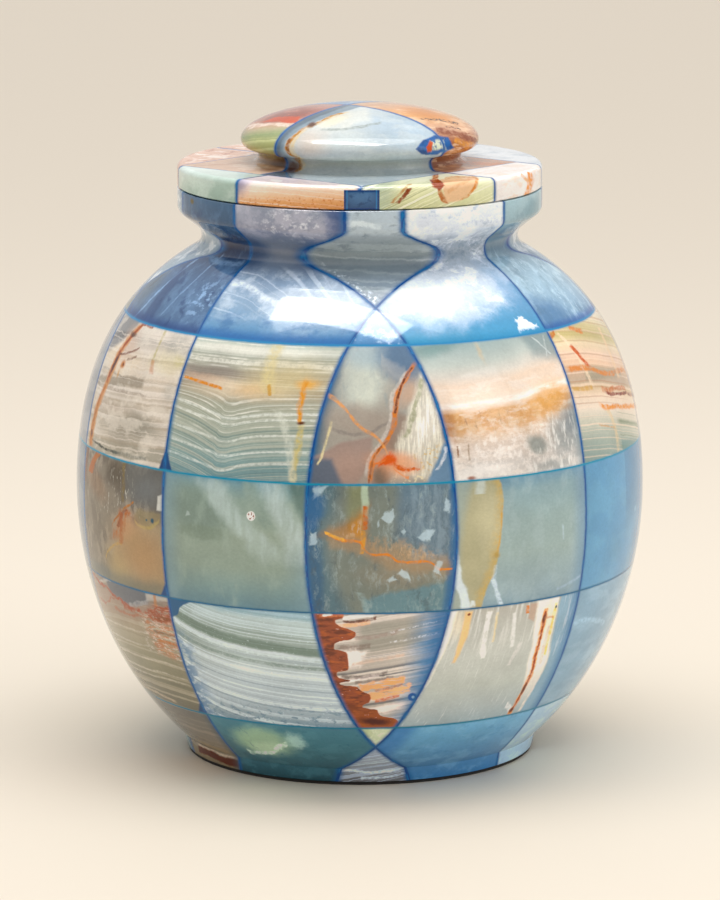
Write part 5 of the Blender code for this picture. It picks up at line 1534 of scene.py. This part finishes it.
def knob_chip(s):
    """Resin in the chip on the knob's front right joint, which runs over two stones."""
    chip = s.patch([(19.4, 210), (22, 213.2), (26, 215.4), (31, 214.6), (33, 211), (27, 208.4),
                    (21.4, 208.2)], 0.35, 0.8)
    s.resin("#005aa4", chip)
    s.resin("#003f80", chip * s.cloud(2.6, 0.5, 0.62, detail=3, seed=7) * 0.8)
    s.resin("#d9e0c9", chip * s.patch([(24.6, 213.4), (29, 214), (30.4, 210.8), (25, 209.4)],
                                      0.6, 1.6) * s.cloud((1.2, 2, 2), 0.36, 0.56, seed=9))
    return chip


@stone("lid", "#a9b377", (0.88, 0.88, 0.84))
def lid_knob_left(s):
    s.grade((205, "#a89a62"), (210, "#b2b56f"), (213, "#b9bd80"), (216, "#9fae7c"),
            (218, "#c3b695"), (220, "#dba98f"), (224, "#c07f77"), (228, "#cf9f94"))
    s.lay("#d3d69e", s.band(1.6, 0.5, 0.64, detail=3, warp=0.6, seed=4)
          * s.smooth(s.z, 218, 215) * 0.7)
    s.lay("#84a07a", s.beyond([(-21, 200), (-20, 212), (-17, 222)], 2.6, 1.2)
          * s.smooth(s.z, 219, 216) * 0.8)
    s.lay("#b5594a", s.blob((-25, 223.6), (10, 2.4), turn=12, soft=0.5, warp=1.5) * 0.85)
    s.lay("#d8907f", s.cloud((6, 7, 1.6), 0.5, 0.64, turn=14, detail=4, seed=2)
          * s.smooth(s.z, 221, 223) * 0.7)
    s.lay("#f0561a", s.patch([(-34, 221.6), (-30, 223), (-21, 222.6), (-22, 219.6), (-27, 220.4)],
                             0.4, 1.2) * 0.9)
    s.lay("#f0ddd2", s.vein([(-42, 219.6), (-35, 220), (-27, 219.4), (-22, 218.6)], 0.9, 0.7,
                            warp=1.2) * 0.85)
    under = s.smooth(s.level, 221, 217)
    s.lay("#a5744a", under * s.beyond([(-40, 210), (-34, 209), (-26, 207)], 1.5, 1.0).flip() * 0.8)
    s.lay("#6f4328", under * s.blob((-27, 205), (4, 2.6), soft=0.7) * 0.8)
    disc = s.smooth(s.level, 213.4, 212.2)
    s.lay("#ddb69d", disc)
    s.lay("#e9cdbb", disc * s.cloud((9, 9, 2), 0.46, 0.62, turn=8, detail=4, seed=6) * 0.8)
    s.lay("#cf9a78", disc * s.band(1.4, 0.55, 0.68, turn=6, detail=3, seed=8) * 0.6)


@stone("lid", "#ccd5d9", (0.84, 0.85, 0.86))
def lid_knob_front(s):
    s.grade((198, "#b9c9d3"), (203, "#c3ced1"), (205, "#cfd2c6"), (208, "#c3cdd0"),
            (212, "#ccd5d6"), (216, "#c8d0d0"), (220, "#c6d3da"), (226, "#cfd8dc"))
    s.lay("#b3c9da", s.blob((16, 217), (14, 9), turn=-18, soft=0.7, warp=2) * 0.85)
    s.lay("#dfe3dd", s.cloud((10, 9, 3), 0.46, 0.62, turn=-8, detail=5, rough=0.6, warp=2) * 0.3)
    s.lay("#a9b9c3", s.cloud((7, 8, 3), 0.56, 0.7, turn=8, detail=5, rough=0.6, seed=3,
                             warp=2) * 0.2)
    s.lay("#e3d2c3", s.blob((-17, 212), (5, 5), soft=0.8, warp=2) * 0.7)
    # Painted soft reflection: the pale patch on the knob's top, between the vein and the thin grey
    # line below it.
    s.lay("#ece8d6", s.patch([(-15, 219.6), (-6, 223.6), (3, 226), (4, 220), (-4, 217.8),
                              (-13, 217.2)], 1.8, 2.0) * 0.5)
    s.lay("#f6e9c6", s.blob((-9, 220.6), (5, 1.6), turn=20, soft=0.7) * 0.6)
    s.lay("#a3ada8", s.vein([(-14, 216.8), (-3.5, 217.3), (3, 218.6), (8, 219.8)], 0.35, 0.5,
                            warp=0.6) * 0.8)
    s.lay("#86a0b3", s.beyond([(-22.8, 201), (-22.4, 205), (-26, 209), (-26, 211.4),
                               (-23.4, 215), (-18, 218.8), (-11, 222), (-5, 224.4)], 0.8,
                              0.5).flip() * 0.85)
    s.lay("#5d768c", s.beyond([(-26, 204), (-27.6, 210), (-25.4, 215), (-20, 219), (-12, 223.2)],
                              0.9, 0.5).flip() * 0.7)
    s.lay("#e9cf9a", s.vein([(-24, 202), (-20, 205), (-23.2, 209), (-23.6, 212), (-21.6, 215.2),
                             (-17.4, 218.2), (-10.5, 221.6), (-3, 224.6)], 1.2, 1.0,
                            warp=0.8) * 0.8)
    s.lay("#d8922a", s.vein([(-22.8, 202.4), (-20.6, 205), (-21.5, 206.7), (-24.5, 208.6),
                             (-25, 211.1), (-23.2, 214.3), (-20.2, 217.2), (-16, 219.4),
                             (-10.5, 221.9), (-5.3, 223.9)], 0.7, 0.7, warp=0.8, fade=0.02))
    s.lay("#7a3a12", s.blob((-16.8, 219), (1.5, 0.9), turn=30, soft=0.6, warp=0.8) * 0.95)
    s.lay("#a85c1c", s.vein([(-24.6, 208.8), (-24.9, 211.1), (-23.2, 214.3)], 0.35, 0.4) * 0.9)
    s.lay("#7c4320", s.blob((-23.4, 204.4), (2.6, 1.8), soft=0.6, warp=1.4) * 0.9)
    chip = knob_chip(s)
    s.resin("#c9521f", chip * s.patch([(22.8, 210.6), (24.6, 213.6), (25.4, 213), (25, 209.6),
                                       (23.6, 209.4)], 0.35, 1.2))


@stone("lid", "#dfae88", (0.9, 0.86, 0.8))
def lid_knob_right(s):
    s.grade((203, "#a8623c"), (207, "#b3704a"), (210, "#d98f42"), (213, "#c0713a"),
            (216, "#cc9370"), (218, "#dcae92"), (220, "#e0ae86"), (223, "#e8a862"),
            (226, "#e5b186"), (229, "#e0b597"))
    s.lay("#f0cfae", s.cloud((9, 7, 1.4), 0.48, 0.62, turn=-14, detail=5, warp=1.2) * 0.7)
    s.lay("#e8963c", s.blob((24, 224), (10, 1.8), turn=-16, soft=0.6, warp=1.2) * 0.85)
    s.lay("#b5653a", s.cloud((8, 6, 0.9), 0.56, 0.68, turn=-14, detail=4, seed=5, warp=1)
          * s.smooth(s.z, 221, 218) * 0.8)
    s.lay("#5f4232", s.vein([(21, 221.6), (29, 221.2), (35, 220.2)], 0.5, 0.4, warp=0.8)
          * s.cloud(1.2, 0.46, 0.54, detail=2, seed=4))
    s.lay("#6f5142", s.vein([(30, 219), (36, 218)], 0.4, 0.4, warp=0.8)
          * s.cloud(1.2, 0.48, 0.56, detail=2, seed=9) * 0.9)
    s.lay("#a8501e", s.vein([(26, 217.4), (33, 216.2), (42, 213.8)], 1.4, 0.9, warp=1.4) * 0.9)
    s.lay("#e79a30", s.vein([(33, 214), (37, 213), (43, 211.6)], 1.4, 1.0, warp=1.2))
    disc = s.smooth(s.level, 213.4, 212.2)
    s.lay("#c79b82", disc)
    s.lay("#e0b592", disc * s.band(1.6, 0.48, 0.62, turn=-8, detail=4, seed=6) * 0.8)
    s.lay("#d9803a", disc * s.vein([(34, 208), (44, 206.6), (54, 206)], 0.8, 0.7, warp=1.2))
    knob_chip(s)


@stone("lid", "#8fb0d4")
def lid_knob_back(s):
    s.lay("#5d8cc0", s.cloud((9, 9, 5), 0.46, 0.64, detail=4, warp=2) * 0.8)
    s.lay("#c3d3e2", s.cloud((6, 6, 3), 0.56, 0.68, detail=4, seed=3, warp=2) * 0.7)


@stone("lid", "#b9cac2", (1.05, 1.06, 1.05))
def lid_edge_left_front(s):
    s.grade((193, "#9dbab0"), (197, "#adc6bc"), (200, "#bed0c8"), (204, "#cbd8d6"),
            (208, "#c3cfd6"))
    s.lay("#d3e0da", s.cloud((12, 10, 5), 0.44, 0.64, detail=3, warp=1.5) * 0.4)
    s.lay("#8fb3b8", s.smooth(s.a, -44, -41) * 0.5)


@stone("lid", "#e9d3c2", (1, 0.99, 1))
def lid_edge_front_left(s):
    s.grade((187, "#e0934c"), (190.4, "#e8a868"), (192.6, "#efc59e"), (196, "#efdbcc"),
            (199, "#e6dde0"), (204, "#d9d3d8"))
    s.lay("#f6efe9", s.band(1.6, 0.52, 0.66, turn=-7, detail=4, warp=0.8) * 0.5)
    s.lay("#dd8538", s.cloud((1.2, 2, 0.8), 0.56, 0.66, turn=-6, detail=4, seed=8)
          * s.smooth(s.z, 193.4, 190.8) * 0.8)
    s.lay("#9c94b5", s.blob((-42, 198), (3, 4), soft=0.8, warp=1.5) * 0.8)
    s.lay("#c9c0cf", s.vein([(-41, 199), (-20, 197.4), (-6, 196)], 0.6, 1.4, warp=1.0) * 0.6)
    s.lay("#fbfaf8", s.blob((-28.8, 198.4), (1.9, 0.5), turn=-8, soft=0.4, warp=0.5))


@stone("lid", "#2f639c", (1.05, 1.05, 1.05))
def lid_insert(s):
    s.lay("#5a8cbd", s.blob((0.4, 192.6), (5, 2.6), soft=0.8, warp=1.5) * 0.7)
    s.lay("#1b4f8b", s.cloud((2.4, 3, 2), 0.52, 0.66, detail=4, seed=3, warp=1) * 0.6)
    rim = s.math("MAXIMUM", s.smooth(abs(s.a - 0.7), 5.2, 6.0),
                 s.math("MAXIMUM", s.smooth(s.level, 204.8, 204), s.smooth(s.level, 209.6, 210.4)))
    s.lay("#0b4c9c", rim)
    s.lay("#2f8fd6", s.smooth(abs(s.a - 0.7), 4.7, 5.0) * s.smooth(abs(s.a - 0.7), 5.4, 5.1) * 0.8)


@stone("lid", "#dfdfba", (1.02, 1.02, 0.99))
def lid_edge_front_right(s):
    s.grade((188, "#c9cb9c"), (192, "#d6d8aa"), (197, "#e0e2bd"), (201, "#dfe3cc"),
            (205, "#d3dcd2"))
    s.lay("#b3c3ac", s.smooth(s.a, 15, 8) * 0.8)
    s.lay("#b5ba82", s.band(0.9, 0.52, 0.64, turn=26, detail=4, warp=0.4)
          * s.smooth(s.a, 28, 22) * 0.8)
    s.lay("#f2f1dc", s.band(1.0, 0.52, 0.64, turn=26, detail=4, warp=0.4, seed=4) * 0.7)
    s.lay("#a84a08", s.vein([(12.5, 190), (14.9, 192.2), (17.4, 195.4)], 1.0, 0.7, warp=1.0))
    s.lay("#c98a3c", s.vein([(11, 190), (13.4, 193), (17.6, 197)], 0.6, 0.7, warp=1.0) * 0.8)
    s.lay("#ecbf94", s.patch([(28, 199), (41, 199.8), (40, 195.4), (35, 191.4), (29.4, 190.4)],
                             0.5, 0.9) * 0.95)
    s.lay("#e48c2c", s.vein([(40.6, 199.6), (39.4, 195.6), (34.6, 191.2)], 0.5, 0.6, warp=0.8))
    s.lay("#d99a58", s.vein([(29, 199.2), (35, 200), (41, 199.8)], 0.4, 0.6, warp=0.8) * 0.9)
    s.lay("#e3a873", s.vein([(30, 194), (34, 196.4), (38, 199)], 0.6, 0.8, warp=1.0) * 0.7)
    s.lay("#cf7424", s.vein([(27.6, 203), (26.2, 199.7), (27, 196), (28, 193), (29.6, 190)],
                            1.0, 0.8, warp=1.0))
    s.lay("#bc4c0a", s.patch([(24.2, 199), (27.4, 199), (29, 196.4), (27.4, 194.4), (25.2, 195.4)],
                             0.4, 1.2))


@stone("lid", "#e6dfdb", (1.04, 1.05, 1.06))
def lid_edge_right_front(s):
    s.lay("#e6cfbd", s.cloud((7, 7, 3), 0.48, 0.64, detail=4, warp=1.5) * 0.7)
    s.lay("#f3f0ee", s.band(1.4, 0.52, 0.64, turn=20, detail=4, warp=0.6) * 0.7)
    s.lay("#ee9434", s.vein([(59.2, 203), (59.8, 200), (59.2, 197), (58, 194)], 1.0, 0.8,
                            warp=0.7))
    s.lay("#e6a666", s.vein([(56, 202), (58, 200), (60, 199)], 0.6, 0.7, warp=0.6) * 0.8)


@stone("lid", "#dbb09a")
def lid_edge_left_back(s):
    s.lay("#efe0d6", s.cloud((6, 6, 3), 0.48, 0.62, detail=5, warp=2) * 0.8)
    s.lay("#b9643c", s.cloud((5, 5, 2.4), 0.56, 0.68, detail=4, seed=3, warp=2) * 0.8)


@stone("lid", "#cfd4d9")
def lid_edge_right_back(s):
    s.lay("#b3bfca", s.cloud((8, 8, 3), 0.46, 0.64, detail=4, warp=2) * 0.7)
    s.lay("#d99a5c", s.vein([(30, 206), (46, 204), (62, 201)], 0.7, 0.8, warp=1.5) * 0.6)


# Hidden stones, plainer and in keeping

@stone("left", "#ded4c4")
def upper_back(s):
    s.lay("#f1ece2", s.band(4, 0.44, 0.6, turn=-4, detail=4, warp=1.2) * 0.8)
    s.lay("#b9a994", s.band(2, 0.56, 0.7, turn=-4, detail=3, warp=0.8, seed=3) * 0.6)
    s.lay("#d0873c", s.vein([(-60, 150), (0, 141), (60, 152)], 0.7, 0.9, warp=3))


@stone("right", "#b3bfb8")
def upper_left_back(s):
    s.lay("#d6d8ce", s.band(3, 0.46, 0.62, turn=6, detail=4, warp=1.2) * 0.8)
    s.lay("#8fa5a8", s.cloud((14, 14, 6), 0.5, 0.66, detail=4, warp=2) * 0.7)


@stone("left", "#a5b09f")
def middle_back(s):
    s.lay("#bcc6b6", s.cloud((7, 12, 12), 0.46, 0.64, turn=-30, detail=4, warp=2) * 0.8)
    s.lay("#7f9a98", s.cloud((12, 12, 9), 0.54, 0.7, detail=4, seed=3, warp=2) * 0.6)


@stone("right", "#8fadc0")
def middle_left_back(s):
    s.lay("#c9b78f", s.cloud((9, 12, 16), 0.56, 0.7, turn=14, detail=4, warp=2) * 0.8)
    s.lay("#b3c6cf", s.cloud((12, 9, 9), 0.46, 0.64, detail=4, seed=3, warp=2) * 0.6)


@stone("left", "#bac1bb")
def lower_back(s):
    s.lay("#d9dad2", s.band(3, 0.46, 0.62, turn=8, detail=4, warp=0.8) * 0.8)
    s.lay("#97a59c", s.band(3, 0.56, 0.7, turn=8, detail=3, warp=0.8, seed=3) * 0.6)


@stone("right", "#a9b0a2")
def lower_left_back(s):
    s.lay("#cbbfa4", s.band(5, 0.48, 0.64, turn=-10, detail=4, warp=1.2) * 0.8)
    s.lay("#b9643a", s.vein([(-60, 48), (0, 58), (60, 46)], 0.8, 1.0, warp=3) * 0.8)


@stone("right", "#9db4c6")
def neck_back(s):
    s.lay("#dfe6ec", s.cloud((9, 12, 6), 0.48, 0.62, turn=20, detail=5, warp=2) * 0.8)
    s.lay("#5f88b4", s.cloud((10, 10, 6), 0.54, 0.68, detail=4, seed=3, warp=2) * 0.7)


@stone("left", "#6f93a3")
def foot_back(s):
    s.lay("#a9bfc0", s.cloud((9, 9, 5), 0.48, 0.64, detail=4, warp=2) * 0.7)


# Hidden stones that share a painting
SAME = {"left_back": "back", "back_left": "left_back", "back_right": "left_back",
        "right_back": "back", "right": "right_front", "inner_left": "back",
        "inner_back": "back", "inner_right": "back"}
LID_SAME = {"back_left": "left_back", "back_right": "right_back"}


# Stones of the vessel: the limits of each along the right and left directions

ALL_ROUND = ((-FAR, FAR), (-FAR, FAR))
P = PITCH
BELLY = {
    "front": ((P, FAR), (P, FAR)), "front_left": ((0, P), (0, FAR)),
    "left_front": ((-P, 0), (0, FAR)), "left": ((-FAR, -P), (P, FAR)),
    "left_back": ((-FAR, -P), (0, P)), "back_left": ((-FAR, -P), (-P, 0)),
    "back": ((-FAR, -P), (-FAR, -P)), "back_right": ((-P, 0), (-FAR, 0)),
    "right_back": ((0, P), (-FAR, 0)), "right": ((P, FAR), (-FAR, -P)),
    "right_front": ((P, FAR), (-P, 0)), "front_right": ((P, FAR), (0, P)),
}
ENDS = dict(
    BELLY,
    front_left=((0, P), (P, FAR)), left_front=((-P, 0), (P, FAR)),
    back_right=((-P, 0), (-FAR, -P)), right_back=((0, P), (-FAR, -P)),
    inner_front=((0, P), (0, P)), inner_left=((-P, 0), (0, P)),
    inner_back=((-P, 0), (-P, 0)), inner_right=((0, P), (-P, 0)),
)

# Solids that take in a neighbour at the hidden back
BELLY_NODES = {"left_back": "back_left", "back": "back_left", "right_back": "back_right"}
END_NODES = dict(BELLY_NODES, left="left_front", right="right_front")
LEVELS = ("foot", "lower", "middle", "upper", "neck")


def look_of(level, place, cell, levels):
    """The material of the stone at this place, drawn and inlaid with its joints."""
    name = key = f"{level}_{place}"
    same = LID_SAME if level == "lid_edge" else SAME
    while key not in STONES:
        place = same[place]
        key = f"{level}_{place}"
    face, base, tone_and_shade, paint = STONES[key]
    look = Look(name, *FACES[face], base)
    paint(look)
    return look.grain(tone_and_shade).seams(cell, levels).done()


def vessel():
    blank = Blank(vessel_section())
    limits = (-FAR,) + SEAMS + (FAR,)
    for number, level in enumerate(LEVELS):
        tier = blank.shape.copy()
        keep_between(tier, UP, limits[number], limits[number + 1])
        ends = level in ("foot", "neck")
        joints = [(height, SEAM_COLORS[i]) for i, height in enumerate(SEAMS)
                  if i in (number - 1, number)]
        for place, cell in (ENDS if ends else BELLY).items():
            shape = block_of(tier, cell)
            side = (END_NODES if ends else BELLY_NODES).get(place, place)
            if level == "foot" and place == "inner_back":
                side = "inner_left"
            name = f"{level}_{place}"
            material = look_of(level, place, cell, joints)
            piece_from(name, shape, blank, material, f"{level}_{side}_stone")
        tier.free()


def lid():
    blank = Blank(lid_section())
    ring = solid_between(rectangle(*ALL_ROUND), rectangle(LID_RIGHT, LID_LEFT), 0, LID_TOP)
    left, right = INSERT_SIDES
    slot = [(left, -FAR), (right, -FAR), (right, INSERT_BACK), (left, INSERT_BACK)]
    notch = solid_between(slot, None, 0, INSERT_TOP)
    low, high = (-FAR, KNOB_JOINTS[0]), (KNOB_JOINTS[0], FAR)
    near, far = (-FAR, KNOB_JOINTS[1]), (KNOB_JOINTS[1], FAR)
    knob = {"front": (high, far), "left": (low, far), "back": (low, near),
            "right": (high, near)}
    for place, cell in knob.items():
        shape = less(block_of(blank.shape, cell), ring)
        if place == "front":
            shape = less(shape, notch)
        material = look_of("lid_knob", place, cell, [])
        piece_from(f"lid_knob_{place}", shape, blank, material, f"lid_knob_{place}_stone")

    disc = blank.shape.copy()
    keep_below(disc, UP, LID_TOP - HAIR)
    joint_right, joint_left = EDGE_JOINTS
    edge = {
        "front_left": ((joint_right, LID_RIGHT[1]), (LID_LEFT[1], FAR), "front_left"),
        "left_front": ((-FAR, joint_right), (LID_LEFT[1], FAR), "left_front"),
        "left_back": ((-FAR, LID_RIGHT[0]), (joint_left, LID_LEFT[1]), "back_left"),
        "back_left": ((-FAR, LID_RIGHT[0]), (-FAR, joint_left), "back_left"),
        "back_right": ((LID_RIGHT[0], joint_right), (-FAR, LID_LEFT[0]), "back_right"),
        "right_back": ((joint_right, FAR), (-FAR, LID_LEFT[0]), "back_right"),
        "right_front": ((LID_RIGHT[1], FAR), (LID_LEFT[0], joint_left), "right_front"),
        "front_right": ((LID_RIGHT[1], FAR), (joint_left, FAR), "front_right"),
    }
    for place, (rights, lefts, side) in edge.items():
        cell = rights, lefts
        shape = block_of(disc, cell)
        if place.startswith("front"):
            shape = less(shape, notch)
        material = look_of("lid_edge", place, cell, [])
        piece_from(f"lid_edge_{place}", shape, blank, material, f"lid_edge_{side}_stone")
    shape = disc.copy()
    keep_between(shape, ACROSS, left, right)
    keep_below(shape, BACK, INSERT_BACK)
    keep_below(shape, UP, INSERT_TOP)
    material = look_of("lid", "insert", ALL_ROUND, [])
    piece_from("lid_insert", shape, blank, material, "lid_insert_stone")
    for made in (disc, ring, notch, blank.shape):
        made.free()


def pad():
    """The thin dark felt under the foot."""
    blank = Blank([(0, 0), (PAD_RADIUS, 0), (PAD_RADIUS, PAD_THICKNESS), (0, PAD_THICKNESS)])
    felt, tree, shader = new_material("foot_pad")
    shader.inputs["Roughness"].default_value = FELT_ROUGHNESS
    fluff = tree.nodes.new("ShaderNodeTexNoise")
    fluff.inputs["Scale"].default_value = FLUFF_PER_METRE
    tint = tree.nodes.new("ShaderNodeValToRGB")
    for element, color in zip(tint.color_ramp.elements, FELT_COLORS):
        element.color = shade(color)
    place = tree.nodes.new("ShaderNodeTexCoord")
    tree.links.new(place.outputs["Object"], fluff.inputs["Vector"])
    tree.links.new(fluff.outputs["Fac"], tint.inputs[0])
    tree.links.new(tint.outputs[0], shader.inputs["Base Color"])
    piece_from("foot_pad", blank.shape, blank, felt, "foot_pad")


vessel()
lid()
pad()


# Studio, in metres

CAMERA_PLACE = (0.0001, -1.7669, 0.4496)
CAMERA_TILT = math.radians(79.044)
CAMERA_LENS = 200.76
CAMERA_SENSOR = 36

# Soft light, brighter from above and behind than from the camera's side. By each axis of the
# direction, the light goes from least to most between two places.
SKY_COLOR = "#f7f4f0"
SKY = (("Z", 0.15, 0.8, 0.28, 1.2), ("Y", -0.6, 0.2, 0.28, 0.7))

FLOOR_COLOR = "#e6dccd"
FLOOR_ROUGHNESS = 0.6
FLOOR_HALF = 6


def set_camera():
    lens = bpy.data.cameras.new("camera")
    lens.lens = CAMERA_LENS
    lens.sensor_width = CAMERA_SENSOR
    camera = in_scene("camera", lens)
    camera.location = CAMERA_PLACE
    camera.rotation_euler = (CAMERA_TILT, 0, 0)
    bpy.context.scene.camera = camera


def light_world():
    world = bpy.data.worlds.new("world")
    bpy.context.scene.world = world
    world.use_nodes = True
    nodes, wire = world.node_tree.nodes, world.node_tree.links.new
    sky = nodes["Background"]
    sky.inputs["Color"].default_value = shade(SKY_COLOR)
    toward = nodes.new("ShaderNodeTexCoord")
    parts = nodes.new("ShaderNodeSeparateXYZ")
    wire(toward.outputs["Generated"], parts.inputs[0])
    brighter = nodes.new("ShaderNodeMath")
    brighter.operation = "MAXIMUM"
    for i, (axis, dark, light, least, most) in enumerate(SKY):
        reach = nodes.new("ShaderNodeMapRange")
        reach.interpolation_type = "SMOOTHSTEP"
        for key, value in (("From Min", dark), ("From Max", light), ("To Min", least),
                           ("To Max", most)):
            reach.inputs[key].default_value = value
        wire(parts.outputs[axis], reach.inputs["Value"])
        wire(reach.outputs["Result"], brighter.inputs[i])
    wire(brighter.outputs[0], sky.inputs["Strength"])
    bpy.context.scene.view_settings.view_transform = "Standard"


def area_lamp(name, size, watts, place, facing=None):
    """A rectangular lamp that shines straight down, or at the point it faces."""
    light = bpy.data.lights.new(name, "AREA")
    light.shape = "RECTANGLE"
    light.size, light.size_y = size
    light.energy = watts
    lamp = in_scene(name, light)
    lamp.location = place
    if facing:
        aim = Vector(facing) - lamp.location
        lamp.rotation_euler = aim.to_track_quat("-Z", "Y").to_euler()
    return lamp


def set_lamps():
    area_lamp("overhead", (1.1, 0.5), 5.4, (0, -0.05, 1.15))
    area_lamp("side", (0.9, 1.4), 6, (1.7, -1.1, 0.9), (0, 0, 0.1))
    # A window that only the lid and neck mirror, for the clear highlights on their curves
    window = area_lamp("strip", (1.7, 0.55), 36, (-0.2, -0.36, 2.2), (0, 0, 0.2))
    window.visible_diffuse = False
    curved = bpy.data.collections.new("lid_and_neck")
    for piece in bpy.context.scene.objects:
        if piece.type == "MESH" and piece.name.startswith(("lid_", "neck_")):
            curved.objects.link(piece)
    window.light_linking.receiver_collection = curved


def lay_floor():
    shape = bmesh.new()
    bmesh.ops.create_grid(shape, x_segments=1, y_segments=1, size=FLOOR_HALF)
    mesh = bpy.data.meshes.new("floor")
    shape.to_mesh(mesh)
    shape.free()
    floor = in_scene("floor", mesh)
    ground, _, shader = new_material("floor")
    shader.inputs["Base Color"].default_value = shade(FLOOR_COLOR)
    shader.inputs["Roughness"].default_value = FLOOR_ROUGHNESS
    mesh.materials.append(ground)


set_camera()
light_world()
set_lamps()
lay_floor()
